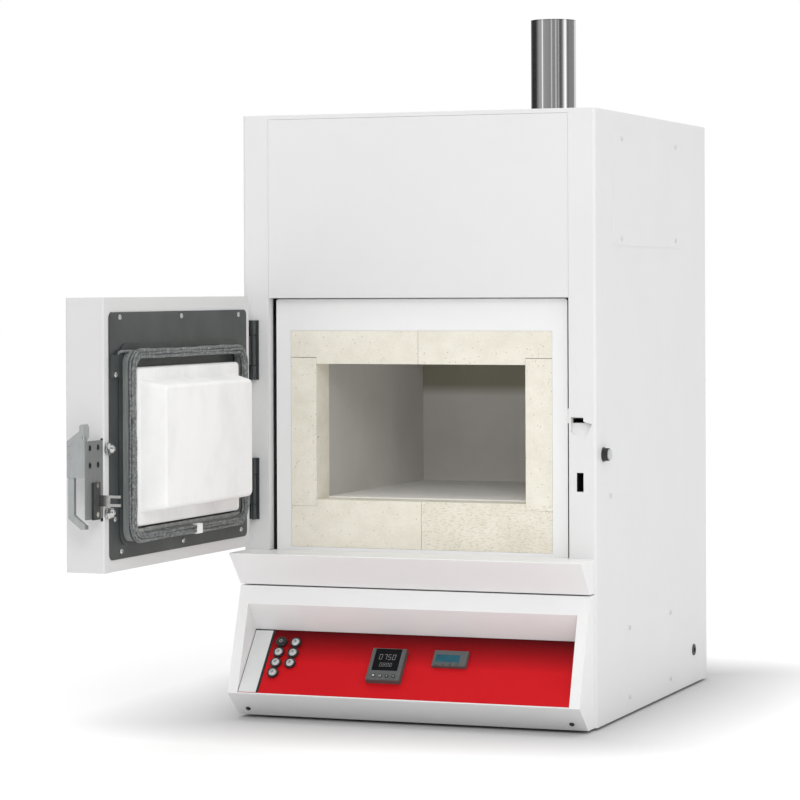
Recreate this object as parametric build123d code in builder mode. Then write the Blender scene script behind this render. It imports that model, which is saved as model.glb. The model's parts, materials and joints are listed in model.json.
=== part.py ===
from build123d import *
from math import cos, radians, sin
import os

# A chamber furnace for ashing, built as separate sheet metal, brick and control pieces.
# Sizes are in millimetres. X is right, Y is back and Z is up.
# The origin is the centre of the case's footprint, on the bench.
# Lengths below are given from the front face of the case's pillars (Y) and its bottom edge (Z).

os.makedirs("parts", exist_ok=True)

# Case
CASE_W = 505.0
CASE_D = 562.0
CASE_H = 817.0
FOOT_H = 4.0
FOOT_R = 18.0
FOOT_IN = (47.5, 40.0)
SHEET = 1.5
BEND_R = 4.5
HALF_W = CASE_W / 2
FRONT = -CASE_D / 2
BASE = FOOT_H
SEAM_Z = 178.0
COVER_H = 6.0
PILLAR_W = 37.5
PILLAR_X = HALF_W - PILLAR_W
LIP_D = 15.0
RETURN_W = 20.0
FIT_GAP = 0.3
SCREW_R = 2.0
SCREW_HOLE_R = 2.2
SCREW_HEAD_R = 3.5
SCREW_HEAD_H = 1.8

# Front frame, bricks and chamber
FRAME_Y = 14.0
FRAME_GAP = 6.0
FRAME_X = PILLAR_X - FRAME_GAP
FRAME_TOP = 565.0
FRAME_BAND = 21.5
FRAME_HEAD = 43.0
SHELF_TOP = 222.0
BRICK_LIFT = 5.0
BRICK_X = FRAME_X - FRAME_BAND
BRICK_Z = (SHELF_TOP + BRICK_LIFT, FRAME_TOP - FRAME_HEAD)
BRICK_BACK = 60.0
JAMB_W = 37.5
SILL_H = 64.5
LINTEL_H = 45.0
MOUTH_X = BRICK_X - JAMB_W
MOUTH_Z = (BRICK_Z[0] + SILL_H, BRICK_Z[1] - LINTEL_H)
MOUTH_H = MOUTH_Z[1] - MOUTH_Z[0]
REBATE = 9.0
BRICK_JOINT = 0.6
SILL_JOINT_X = 2.0
LINTEL_JOINT_X = -2.0
JAMB_GAP = (0.3, 0.7)
HEARTH_Z = MOUTH_Z[0] + 1.5
HEARTH_T = 12.0
LINING_T = 20.0
REAR_BOARD_T = 47.0
REAR_SPACE = 58.5
CASE_IN_X = FRAME_X - 4.0
CASE_IN_BACK = CASE_D - REAR_SPACE
CASE_IN_TOP = FRAME_TOP - 0.5
DECK_Z = SEAM_Z + SHEET
DECK_TOP = DECK_Z + SHEET
LINING_X = MOUTH_X + LINING_T
LINING_TOP = MOUTH_Z[1] + LINING_T
LINING_BACK = CASE_IN_BACK - REAR_BOARD_T
LINING_BOTTOM = HEARTH_Z - HEARTH_T
CHAMBER_BACK = LINING_BACK - LINING_T
TERMINAL_Y = CASE_IN_BACK + 26.5
ELEMENT_R = 3.7
ELEMENT_HOLE_R = 4.0
ELEMENT_GAP = 8.0
ELEMENT_X = LINING_X + ELEMENT_GAP / 2
ELEMENT_Y = (BRICK_BACK + 33.0, LINING_BACK - 26.5)
ELEMENT_Z = (HEARTH_Z + 7.0, MOUTH_Z[1] + 3.0)
ELEMENT_PASSES = 6
ELEMENT_PITCH = (ELEMENT_Z[1] - ELEMENT_Z[0]) / (ELEMENT_PASSES - 1)
REAR_BOARD_X = ELEMENT_X + 16.0
THERMO_X = 90.0
THERMO_Z = MOUTH_Z[1] - 37.0
THERMO_R = 4.0
THERMO_REACH = 40.5

# Flue and chimney
FLUE_Y = CHAMBER_BACK - 56.5
FLUE_Z = CASE_IN_TOP + 75.5
FLUE_R = 20.0
FLUE_BORE_R = 16.0
FLUE_BEND_R = 40.0
BOX_X = 42.0
BOX_Z = (FLUE_Z - 50.0, FLUE_Z + 50.0)
CHIMNEY_GAP = 50.7
CHIMNEY_Y = CASE_D + CHIMNEY_GAP
CHIMNEY_R = 34.5
CHIMNEY_WALL = 1.2
CHIMNEY_RISE = 171.6
CHIMNEY_TOP = CASE_H + CHIMNEY_RISE
SPIGOT_H = 40.0

# Shelf and control housing
FRONT_X = HALF_W - 3.5
SHELF_NOSE_Y = -60.0
SHELF_FOOT = (-20.0, SEAM_Z - 1.0)
HOUSING_TOP = (-20.0, SEAM_Z - 3.0)
HOUSING_NOSE = (-66.5, 33.5)
HOUSING_FOOT = (-28.0, 0.0)
HOUSING = ((0.0, HOUSING_TOP[1]), HOUSING_TOP, HOUSING_NOSE, HOUSING_FOOT, (0.0, 0.0))
LIP_RUN = (HOUSING_FOOT[0] - HOUSING_NOSE[0], HOUSING_NOSE[1] - HOUSING_FOOT[1])
HOUSING_LEAN = (HOUSING_TOP[0] - HOUSING_NOSE[0]) / (HOUSING_TOP[1] - HOUSING_NOSE[1])
TOP_STRIP = 24.2
SIDE_STRIP = 14.5
RECESS_X = FRONT_X - SIDE_STRIP
RECESS_TOP = (HOUSING_TOP[0] - TOP_STRIP * HOUSING_LEAN, HOUSING_TOP[1] - TOP_STRIP)
VALLEY = (-1.0, 113.3)
PANEL_SLOPE = 50.2
PANEL_L = 101.5
FACIA_T = 1.0
LABEL_T = 0.5
LABEL_X = (-RECESS_X + 0.5, -RECESS_X + 30.0)
SLOPE_C = cos(radians(PANEL_SLOPE))
SLOPE_S = sin(radians(PANEL_SLOPE))

# Buttons and controllers, placed on the panel by X and by the distance U down its slope
BUTTON_COLUMNS = (LABEL_X[1] + 14.3, LABEL_X[1] + 35.3)
BUTTON_ROWS = (21.0, 37.5, 54.0, 70.3)
POWER_AT = (BUTTON_COLUMNS[0], BUTTON_ROWS[0])
RESETS_AT = (
    (BUTTON_COLUMNS[1], BUTTON_ROWS[0]),
    (BUTTON_COLUMNS[0], BUTTON_ROWS[1]),
    (BUTTON_COLUMNS[1], BUTTON_ROWS[1]),
    (BUTTON_COLUMNS[0], BUTTON_ROWS[2]),
    (BUTTON_COLUMNS[1], BUTTON_ROWS[2]),
    (BUTTON_COLUMNS[0], BUTTON_ROWS[3]),
)
RING_R = 7.8
RING_H = 4.6
BUTTON_R = 6.0
BUTTON_PLAY = 0.06
BUTTON_TOP = 6.4
BUTTON_BACK = -8.0
SHANK_R = 7.0
SHANK_BACK = -16.0
CELL_BACK = -13.0
TEMP_AT = (-28.5, 53.5)
TEMP_SIZE = (48.0, 50.0, 10.0)
TEMP_BODY = (45.0, 45.0, 70.0)
TEMP_WINDOW = (37.0, 34.0)
TEMP_WINDOW_AT = (TEMP_AT[0], TEMP_AT[1] - 6.5)
TEMP_KEY_PITCH = 9.5
TEMP_KEYS_X = tuple(TEMP_AT[0] - 13.3 + number * TEMP_KEY_PITCH for number in range(4))
TEMP_KEYS_U = TEMP_AT[1] + 18.9
TEMP_KEY_R = 3.0
OVER_AT = (58.0, 38.2)
OVER_SIZE = (48.0, 24.3, 6.5)
OVER_BODY = (45.0, 22.0, 70.0)
OVER_WINDOW = (34.0, 11.4)
OVER_WINDOW_AT = (OVER_AT[0] - 3.0, OVER_AT[1] + 0.5)
OVER_KEY_PITCH = 9.7
OVER_KEYS_X = tuple(OVER_AT[0] - 17.5 + number * OVER_KEY_PITCH for number in range(4))
OVER_KEYS_U = OVER_AT[1] + 9.1
OVER_KEY_R = 2.0
KEY_PLAY = 0.08
WINDOW_DEPTH = 1.0

# Right side
SIDE_BUTTON_AT = (32.0, 358.5)
SIDE_FLANGE_R = 9.5
SIDE_BARREL_R = 8.6
SIDE_BUTTON_R = 7.2
SIDE_PLAY = 0.08
GROMMET_AT = (CASE_D - 77.0, 48.8)
GROMMET_R = 8.25
COVER_Y = (84.0, CASE_D - 134.0)
COVER_Z = (CASE_H - 181.0, CASE_H - 25.0)
COVER_T = 0.8
COVER_SCREWS_Y = (COVER_Y[0] + 35.0, COVER_Y[1] - 37.0)
COVER_SCREWS_Z = (COVER_Z[0] + 10.0, COVER_Z[1] - 11.5)
COVER_SCREWS = tuple((y, z) for z in COVER_SCREWS_Z for y in COVER_SCREWS_Y)
LOW_SCREWS = ((153.0, 22.4), (358.0, 22.4), (153.0, 116.3), (358.0, 116.3))
SMALL_SCREW = (63.6, 301.8)
LIP_SCREW_X = FRONT_X - 19.0
LIP_SCREW_IN = 11.3
LIP_SCREW_AT = (HOUSING_FOOT[0] - LIP_SCREW_IN, HOUSING_FOOT[1] + LIP_SCREW_IN * LIP_RUN[1] / LIP_RUN[0])

# Interlock slot and catch pocket in the right pillar
SLOT_X = (PILLAR_X + 10.6, PILLAR_X + 20.0)
SLOT_Z = (310.5, 335.5)
SWITCH_D = 46.0
CATCH_D = 9.0
CATCH_Z = (378.0, 403.0, 409.0)
CATCH_SLOT_Z = (CATCH_Z[1] - 2.0, CATCH_Z[1] + 4.5)
FRAME_TAB_Z = (CATCH_Z[1] - 2.8, CATCH_Z[1] + 16.6)
CATCH = (
    (PILLAR_X + 3.0, CATCH_Z[0] + 11.0),
    (PILLAR_X + 21.6, CATCH_Z[0]),
    (PILLAR_X + 32.0, CATCH_Z[1] - 3.0),
    (PILLAR_X + 20.0, CATCH_Z[1]),
    (PILLAR_X + 20.0, CATCH_Z[2]),
    (PILLAR_X + 2.6, CATCH_Z[2]),
)
CATCH_BACK = (
    (PILLAR_X + SHEET, CATCH_Z[0] + 10.0),
    (PILLAR_X + 21.9, CATCH_Z[0] - 1.8),
    (PILLAR_X + 33.0, CATCH_Z[1] - 2.1),
    (PILLAR_X + 21.5, CATCH_Z[1] + 1.3),
    (PILLAR_X + 21.5, CATCH_Z[2] + 1.5),
    (PILLAR_X + SHEET, CATCH_Z[2] + 1.5),
)

# Door, drawn closed. D is the distance out from its inner face.
DOOR_OPEN = 91.2
DOOR_X = PILLAR_X
DOOR_Z = (SHELF_TOP + 7.5, FRAME_TOP + 4.5)
DOOR_T = 53.0
DOOR_Y = -6.0
PIN_X = -DOOR_X - 19.0
PIN_Y = -9.0
RIM_W = 30.0
RIM_X = DOOR_X - RIM_W
RIM_Z = (DOOR_Z[0] + RIM_W, DOOR_Z[1] - RIM_W)
PLATE_X = DOOR_X - 13.0
PLATE_Z = (DOOR_Z[0] + 15.0, DOOR_Z[1] - 18.0)
DOOR_SCREWS = (
    (-PLATE_X + 27.0, PLATE_Z[1] - 6.5),
    (0.0, PLATE_Z[1] - 6.5),
    (PLATE_X - 27.0, PLATE_Z[1] - 6.5),
    (PLATE_X - 13.0, PLATE_Z[0] + 50.5),
    (PLATE_X - 29.4, PLATE_Z[0] + 9.5),
    (-3.0, PLATE_Z[0] + 9.5),
    (-PLATE_X + 21.0, PLATE_Z[0] + 10.3),
)
TAB_T = 3.0
TAB_X = (PLATE_X - 20.0, PLATE_X - 1.0)
TAB_Z = (PLATE_Z[1] - 81.5, PLATE_Z[1] - 52.5)
TAB_SCREW = (PLATE_X - 10.2, PLATE_Z[1] - 77.5)
PLUG_X = MOUTH_X + 1.0
PLUG_Z = (MOUTH_Z[0] - 8.5, MOUTH_Z[1] + 5.0)
PLUG_D = -14.5
PLUG_TIP_D = -44.0
PLUG_MID_Z = sum(MOUTH_Z) / 2 - 1.85
PLUG_FOOT = (2 * MOUTH_X - 11.0, MOUTH_H - 19.0)
PLUG_TIP = (2 * MOUTH_X - 43.0, MOUTH_H - 31.5)
SEAL_X = PLUG_X + 21.5
SEAL_Z = (PLUG_Z[0] - 20.5, PLUG_Z[1] + 23.5)
SEAL_W = 12.5
SEAL_T = 8.2
SEAL_GAP = 0.3
SEAL_D = (DOOR_Y - FRAME_Y + SEAL_GAP, DOOR_Y - FRAME_Y + SEAL_GAP + SEAL_T)
SEAL_R = 28.0
SEAL_OVERHANG = 2.5
COLLAR_X = SEAL_X - SEAL_OVERHANG
COLLAR_Z = (SEAL_Z[0] + SEAL_OVERHANG, SEAL_Z[1] - SEAL_OVERHANG)
COLLAR_D = SEAL_D[1] + SEAL_GAP
COLLAR_FOOT_X = COLLAR_X + 9.0
COLLAR_FOOT_Z = (COLLAR_Z[0] - 4.5, COLLAR_Z[1] + 9.0)
LEDGE_Z = PLUG_Z[0] - 3.0
CLIP_X = (-25.0, -9.0)

# Hinges
KNUCKLE_R = 3.3
KNUCKLE_BEVEL = 0.6
PIN_R = 1.7
PIN_PLAY = 0.06
KNUCKLE_GAP = 0.4
LEAF_W = 19.8
LEAF_REACH = 34.0
HINGES = (
    (DOOR_Z[1] - 114.5, DOOR_Z[1] - 94.5, DOOR_Z[1] - 53.5, DOOR_Z[1] - 33.0),
    (DOOR_Z[0] + 34.5, DOOR_Z[0] + 55.0, DOOR_Z[0] + 96.5, DOOR_Z[0] + 118.5),
)
LEAF_T = 2.0

# Latch bracket and handle
WEB_D = (1.5, 4.5)
WEB_X = (DOOR_X - 18.0, DOOR_X + 42.0)
WEB_Z = (298.5, 394.5)
WEB_SLOT_D = 5.0
WEB_SLOT_Z = (WEB_Z[0] - 4.5, WEB_Z[1] + 1.9)
WEB_HOLES = tuple((WEB_X[1] - x, WEB_Z[1] - z) for z in (8.5, 29.8) for x in (8.0, 29.5))
WEB_HOLE_R = 4.0
FLANGE_T = 3.0
FLANGE_D = 29.0
FLANGE_H = 45.0
CURL_H = 20.5
ARM_D = (FLANGE_D - 9.5, FLANGE_D - 1.6)
RIVETS = ((FLANGE_D - 3.0, WEB_Z[1] - 3.7), (FLANGE_D - 3.0, WEB_Z[1] - 19.0))
DOME_NUTS = ((DOOR_X - 8.0, WEB_Z[1] - 11.5), (DOOR_X - 8.0, WEB_Z[0] + 5.5))
KEY_PLATE_X = (DOOR_X + 12.0, DOOR_X + 29.5)
KEY_PLATE_Z = (297.6, 343.3)
KEY_BOLT_X = DOOR_X + 20.8
KEY_BOLTS_Z = (KEY_PLATE_Z[1] - 3.7, KEY_PLATE_Z[0] + 6.4)
TONGUE_X = (PILLAR_X + 14.3, PILLAR_X + 16.3)
TONGUE_Z = (SLOT_Z[0] + 3.2, SLOT_Z[1] - 8.0)
TONGUE_L = 29.0


def at(x, y, z):
    """A point from the pillars' front face and the case's bottom edge."""
    return (x, FRONT + y, BASE + z)


def block(x, y, z, mode=Mode.ADD):
    """A box between the two limits in each direction."""
    with Locations(at(sum(x) / 2, sum(y) / 2, sum(z) / 2)):
        Box(x[1] - x[0], y[1] - y[0], z[1] - z[0], mode=mode)


def upright(x, y, z, radius, mode=Mode.ADD):
    """A box with its upright corners rounded."""
    with BuildSketch(Plane.XY.offset(BASE + z[0])) as outline:
        with Locations((sum(x) / 2, FRONT + sum(y) / 2)):
            RectangleRounded(x[1] - x[0], y[1] - y[0], radius)
    extrude(outline.sketch, amount=z[1] - z[0], mode=mode)


def front_plane(y):
    """A plane that faces forward, with X and Z as its own directions."""
    return Plane(origin=at(0, y, 0), x_dir=(1, 0, 0), z_dir=(0, -1, 0))


def side_plane(x):
    """A plane that faces right, with Y and Z as its own directions."""
    return Plane(origin=at(x, 0, 0), x_dir=(0, 1, 0), z_dir=(1, 0, 0))


def facing(x, y, z, radius, mode=Mode.ADD):
    """A box with its corners rounded as seen from the front."""
    with BuildSketch(front_plane(y[1])) as outline:
        with Locations((sum(x) / 2, sum(z) / 2)):
            RectangleRounded(x[1] - x[0], z[1] - z[0], radius)
    extrude(outline.sketch, amount=y[1] - y[0], mode=mode)


def prism(points, plane, depth, mode=Mode.ADD):
    """A flat outline on a plane, with a depth along the plane's direction."""
    corners = [plane.from_local_coords(Vector(p[0], p[1], 0)) for p in points]
    outline = Face(Wire.make_polygon(corners, close=True))
    extrude(outline, amount=depth, dir=plane.z_dir, mode=mode)


def rod(start, end, radius, mode=Mode.ADD):
    """A round bar between two points."""
    a = Vector(*at(*start))
    b = Vector(*at(*end))
    with Locations(Plane(origin=a, z_dir=b - a)):
        Cylinder(radius, (b - a).length, align=(Align.CENTER, Align.CENTER, Align.MIN), mode=mode)


def pan_screw(point, direction, shank):
    """A pan head on a surface and its shank through it."""
    with Locations(Plane(origin=at(*point), z_dir=direction)):
        Cone(SCREW_HEAD_R, SCREW_HEAD_R * 0.72, SCREW_HEAD_H, align=(Align.CENTER, Align.CENTER, Align.MIN))
        Cylinder(SCREW_R, shank, align=(Align.CENTER, Align.CENTER, Align.MAX))


def knuckle(z, radius):
    """A hinge barrel about the pin, bevelled at both ends."""
    rod((PIN_X, PIN_Y, z[0] + KNUCKLE_BEVEL), (PIN_X, PIN_Y, z[1] - KNUCKLE_BEVEL), radius)
    with Locations(at(PIN_X, PIN_Y, z[0])):
        Cone(radius - KNUCKLE_BEVEL, radius, KNUCKLE_BEVEL, align=(Align.CENTER, Align.CENTER, Align.MIN))
    with Locations(at(PIN_X, PIN_Y, z[1])):
        Cone(radius, radius - KNUCKLE_BEVEL, KNUCKLE_BEVEL, align=(Align.CENTER, Align.CENTER, Align.MAX))


def panel_box(x, u, v, mode=Mode.ADD):
    """A box on the control panel. U runs down its slope and V out of it."""
    with Locations(PANEL.location * Pos(sum(x) / 2, -sum(u) / 2, sum(v) / 2)):
        Box(x[1] - x[0], u[1] - u[0], v[1] - v[0], mode=mode)


def panel_disc(place, v, radius, mode=Mode.ADD):
    """A cylinder that stands on the control panel."""
    with Locations(PANEL.location * Pos(place[0], -place[1], v[0])):
        Cylinder(radius, v[1] - v[0], align=(Align.CENTER, Align.CENTER, Align.MIN), mode=mode)


def door_y(d):
    """Y of a depth in the closed door."""
    return DOOR_Y - d


def door_block(x, d, z, mode=Mode.ADD):
    """A box in the closed door."""
    block(x, (door_y(d[1]), door_y(d[0])), z, mode)


def door_facing(x, d, z, radius, mode=Mode.ADD):
    """A box in the closed door with its corners rounded as seen from the front."""
    facing(x, (door_y(d[1]), door_y(d[0])), z, radius, mode)


def swing_open(piece):
    """A closed door's piece, turned about the hinge pin to the open pose."""
    return piece.rotate(HINGE_PIN, -DOOR_OPEN)


PANEL = Plane(origin=at(0, *VALLEY), x_dir=(1, 0, 0), z_dir=(0, -SLOPE_S, SLOPE_C))
OUT_OF_PANEL = Axis((0, 0, 0), PANEL.z_dir)
HINGE_PIN = Axis(at(PIN_X, PIN_Y, 0), (0, 0, 1))


def on_panel(u, v):
    """Y and Z of a place on the control panel."""
    return (VALLEY[0] - u * SLOPE_C - v * SLOPE_S, VALLEY[1] - u * SLOPE_S + v * SLOPE_C)


# Base tray: floor, sides and rear in one sheet, open at the top and the front.
with BuildPart() as base_tray:
    upright((-HALF_W, HALF_W), (0, CASE_D), (0, SEAM_Z), BEND_R)
    upright(
        (-HALF_W + SHEET, HALF_W - SHEET),
        (SHEET, CASE_D - SHEET),
        (SHEET, SEAM_Z - SHEET),
        BEND_R - SHEET,
        Mode.SUBTRACT,
    )
    block(
        (-HALF_W + RETURN_W, HALF_W - RETURN_W),
        (RETURN_W, CASE_D - RETURN_W),
        (SEAM_Z - SHEET, SEAM_Z),
        Mode.SUBTRACT,
    )
    block((-HALF_W + 12.5, HALF_W - 12.5), (-1, RETURN_W), (SHEET, SEAM_Z + 1), Mode.SUBTRACT)
    for y, z in LOW_SCREWS:
        rod((-HALF_W - 1, y, z), (-HALF_W + 5, y, z), SCREW_HOLE_R, Mode.SUBTRACT)
        rod((HALF_W - 5, y, z), (HALF_W + 1, y, z), SCREW_HOLE_R, Mode.SUBTRACT)
    rod(
        (HALF_W - 5, *GROMMET_AT),
        (HALF_W + 1, *GROMMET_AT),
        GROMMET_R - 1.5,
        Mode.SUBTRACT,
    )

# Side panels: each has a front pillar, a rear return and turned-in top and bottom edges.
with BuildPart() as side_panel_left:
    upright((-HALF_W, -PILLAR_X + 40), (0, CASE_D), (SEAM_Z, CASE_H - COVER_H), BEND_R)
    block((-PILLAR_X, -PILLAR_X + 60), (-1, CASE_D + 1), (SEAM_Z - 1, CASE_H), Mode.SUBTRACT)
    upright(
        (-HALF_W + SHEET, -PILLAR_X + 60),
        (SHEET, CASE_D - SHEET),
        (SEAM_Z + SHEET, CASE_H - COVER_H - SHEET),
        BEND_R - SHEET,
        Mode.SUBTRACT,
    )
    block(
        (-HALF_W + RETURN_W, -PILLAR_X + 60),
        (RETURN_W, CASE_D - RETURN_W),
        (SEAM_Z - 1, CASE_H),
        Mode.SUBTRACT,
    )
    block(
        (-PILLAR_X - SHEET, -PILLAR_X),
        (0, LIP_D + SHEET),
        (SEAM_Z, CASE_H - COVER_H),
    )
    block(
        (-PILLAR_X - SHEET, -PILLAR_X),
        (CASE_D - LIP_D - SHEET, CASE_D),
        (SEAM_Z, CASE_H - COVER_H),
    )

with BuildPart() as catch_hollow:
    prism(CATCH, front_plane(20), 30)
    prism(
        (
            (-3, CATCH_Z[0]),
            (0, CATCH_Z[0]),
            (CATCH_D, CATCH_Z[1]),
            (CATCH_D, CATCH_Z[2] + 3),
            (-3, CATCH_Z[2] + 3),
        ),
        side_plane(PILLAR_X),
        PILLAR_W,
        Mode.INTERSECT,
    )

# Catch pocket: a pressing fixed behind the right pillar, with the catch's slot in its rear wall.
with BuildPart() as catch_pocket:
    prism(CATCH_BACK, front_plane(20), 30)
    prism(
        (
            (SHEET, CATCH_Z[0] - 1),
            (CATCH_D + SHEET, CATCH_Z[1] - 0.5),
            (CATCH_D + SHEET, CATCH_Z[2] + 3),
            (SHEET, CATCH_Z[2] + 3),
        ),
        side_plane(PILLAR_X),
        PILLAR_W,
        Mode.INTERSECT,
    )
    add(catch_hollow.part, mode=Mode.SUBTRACT)
    block((PILLAR_X + 2.8, PILLAR_X + 19.2), (5, 14), CATCH_SLOT_Z, Mode.SUBTRACT)

with BuildPart() as side_panel_right:
    add(side_panel_left.part.mirror(Plane.YZ))
    add(catch_hollow.part, mode=Mode.SUBTRACT)
    block(SLOT_X, (-1, SHEET + 0.01), SLOT_Z, Mode.SUBTRACT)
    rod((HALF_W - 5, *SIDE_BUTTON_AT), (HALF_W + 1, *SIDE_BUTTON_AT), 6.3, Mode.SUBTRACT)
    rod((HALF_W - 5, *SMALL_SCREW), (HALF_W + 1, *SMALL_SCREW), SCREW_HOLE_R, Mode.SUBTRACT)
    for y, z in COVER_SCREWS:
        rod((HALF_W - 5, y, z), (HALF_W + 1, y, z), SCREW_HOLE_R, Mode.SUBTRACT)

# Top cover: a shallow lid whose turned-down edge shows over the front panel.
with BuildPart() as top_cover:
    upright((-HALF_W, HALF_W), (0, CASE_D), (CASE_H - COVER_H, CASE_H), BEND_R)
    fillet(top_cover.edges().group_by(Axis.Z)[-1], 1.2)
    upright(
        (-HALF_W + SHEET, HALF_W - SHEET),
        (SHEET, CASE_D - SHEET),
        (CASE_H - COVER_H, CASE_H - SHEET),
        BEND_R - SHEET,
        Mode.SUBTRACT,
    )

with BuildPart() as rear_panel:
    block(
        (-PILLAR_X + FIT_GAP, PILLAR_X - FIT_GAP),
        (CASE_D - LIP_D, CASE_D),
        (SEAM_Z, CASE_H - COVER_H - FIT_GAP),
    )
    block(
        (-PILLAR_X + FIT_GAP + SHEET, PILLAR_X - FIT_GAP - SHEET),
        (CASE_D - LIP_D - 1, CASE_D - SHEET),
        (SEAM_Z + SHEET, CASE_H - COVER_H - FIT_GAP - SHEET),
        Mode.SUBTRACT,
    )
    rod((0, CASE_D - 9, FLUE_Z), (0, CASE_D + 1, FLUE_Z), FLUE_R + FIT_GAP, Mode.SUBTRACT)

with BuildPart() as top_front_panel:
    block(
        (-PILLAR_X + FIT_GAP, PILLAR_X - FIT_GAP),
        (0, LIP_D),
        (FRAME_TOP + 1.8, CASE_H - COVER_H - FIT_GAP),
    )
    block(
        (-PILLAR_X + FIT_GAP + SHEET, PILLAR_X - FIT_GAP - SHEET),
        (SHEET, LIP_D + 1),
        (FRAME_TOP + 1.8 + SHEET, CASE_H - COVER_H - FIT_GAP - SHEET),
        Mode.SUBTRACT,
    )

# Front frame: the recessed white sheet around the bricks, with a tab to the pillar by the catch.
with BuildPart() as front_frame:
    facing((-FRAME_X, FRAME_X), (FRAME_Y, FRAME_Y + SHEET), (DECK_TOP, FRAME_TOP), 3.0)
    block(
        (-BRICK_X - FIT_GAP, BRICK_X + FIT_GAP),
        (FRAME_Y - 1, FRAME_Y + SHEET + 1),
        (BRICK_Z[0] - FIT_GAP, BRICK_Z[1] + FIT_GAP),
        Mode.SUBTRACT,
    )
    block((FRAME_X - 1, PILLAR_X - FIT_GAP), (FRAME_Y, FRAME_Y + SHEET), FRAME_TAB_Z)

# Shelf under the door opening: a folded nose with a tongue that reaches in to the front frame.
with BuildPart() as shelf:
    prism(
        ((SHELF_NOSE_Y, SHELF_TOP), SHELF_FOOT, (0, SHELF_FOOT[1]), (0, SHELF_TOP)),
        side_plane(-FRONT_X),
        2 * FRONT_X,
    )
    offset(amount=-SHEET, openings=shelf.faces().sort_by(Axis.Y)[-1], kind=Kind.INTERSECTION)
    fillet(
        shelf.edges().filter_by(Axis.X).sort_by(Axis.Y)[0],
        0.8,
    )
    block(
        (-PILLAR_X + 3, PILLAR_X - 3),
        (-1, FRAME_Y - FIT_GAP),
        (SHELF_TOP - SHEET, SHELF_TOP),
    )

# Control housing: the forward box that leans out over the bench, with its recess.
with BuildPart() as control_housing:
    prism(HOUSING, side_plane(-FRONT_X), 2 * FRONT_X)
    offset(amount=-SHEET, openings=control_housing.faces().sort_by(Axis.Y)[-1], kind=Kind.INTERSECTION)
    prism(
        (
            RECESS_TOP,
            (RECESS_TOP[0] + 1.22, RECESS_TOP[1] + 0.88),
            (VALLEY[0] + 1.22, VALLEY[1] + 0.88),
            on_panel(0, -FACIA_T - SHEET),
            on_panel(100, -FACIA_T - SHEET),
            on_panel(100, 0),
        ),
        side_plane(-RECESS_X - SHEET),
        2 * (RECESS_X + SHEET),
    )
    prism(
        (VALLEY, on_panel(125, 0), (-100, 20), (-100, RECESS_TOP[1]), RECESS_TOP),
        side_plane(-RECESS_X),
        2 * RECESS_X,
        Mode.SUBTRACT,
    )
    panel_box((-RECESS_X, RECESS_X), (0, PANEL_L + FIT_GAP), (-FACIA_T, 0.01), Mode.SUBTRACT)
    for place in (POWER_AT, *RESETS_AT):
        panel_disc(place, (-8, 1), SHANK_R + 0.15, Mode.SUBTRACT)
    panel_box(
        (TEMP_AT[0] - TEMP_BODY[0] / 2 - 0.2, TEMP_AT[0] + TEMP_BODY[0] / 2 + 0.2),
        (TEMP_AT[1] - TEMP_BODY[1] / 2 - 0.2, TEMP_AT[1] + TEMP_BODY[1] / 2 + 0.2),
        (-8, 1),
        Mode.SUBTRACT,
    )
    panel_box(
        (OVER_AT[0] - OVER_BODY[0] / 2 - 0.2, OVER_AT[0] + OVER_BODY[0] / 2 + 0.2),
        (OVER_AT[1] - OVER_BODY[1] / 2 - 0.2, OVER_AT[1] + OVER_BODY[1] / 2 + 0.2),
        (-8, 1),
        Mode.SUBTRACT,
    )
    for x in (-LIP_SCREW_X, LIP_SCREW_X):
        rod(
            (x, LIP_SCREW_AT[0] - LIP_RUN[1] / 10, LIP_SCREW_AT[1] - LIP_RUN[0] / 10),
            (x, LIP_SCREW_AT[0] + LIP_RUN[1] / 10, LIP_SCREW_AT[1] + LIP_RUN[0] / 10),
            SCREW_HOLE_R,
            Mode.SUBTRACT,
        )

# Facia: the red sheet on the slope, with its openings.
with BuildPart() as facia:
    panel_box((-RECESS_X + 0.2, RECESS_X - 0.2), (0.2, PANEL_L), (-FACIA_T, 0))
    for place in (POWER_AT, *RESETS_AT):
        panel_disc(place, (-8, 1), SHANK_R + 0.15, Mode.SUBTRACT)
    panel_box(
        (TEMP_AT[0] - TEMP_BODY[0] / 2 - 0.2, TEMP_AT[0] + TEMP_BODY[0] / 2 + 0.2),
        (TEMP_AT[1] - TEMP_BODY[1] / 2 - 0.2, TEMP_AT[1] + TEMP_BODY[1] / 2 + 0.2),
        (-8, 1),
        Mode.SUBTRACT,
    )
    panel_box(
        (OVER_AT[0] - OVER_BODY[0] / 2 - 0.2, OVER_AT[0] + OVER_BODY[0] / 2 + 0.2),
        (OVER_AT[1] - OVER_BODY[1] / 2 - 0.2, OVER_AT[1] + OVER_BODY[1] / 2 + 0.2),
        (-8, 1),
        Mode.SUBTRACT,
    )

with BuildPart() as label_strip:
    panel_box(LABEL_X, (0.5, PANEL_L - 0.4), (0, LABEL_T))

# Rings: each button's collar, threaded shank and closed cell behind the panel.
with BuildPart() as button_rings:
    for place in (POWER_AT, *RESETS_AT):
        panel_disc(place, (0, RING_H), RING_R)
    fillet(button_rings.edges().filter_by(GeomType.CIRCLE).group_by(SortBy.LENGTH)[-1], 0.8)
    for place in (POWER_AT, *RESETS_AT):
        panel_disc(place, (SHANK_BACK, 0), SHANK_R)
        panel_disc(place, (CELL_BACK, RING_H + 1), BUTTON_R + BUTTON_PLAY, Mode.SUBTRACT)

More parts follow.
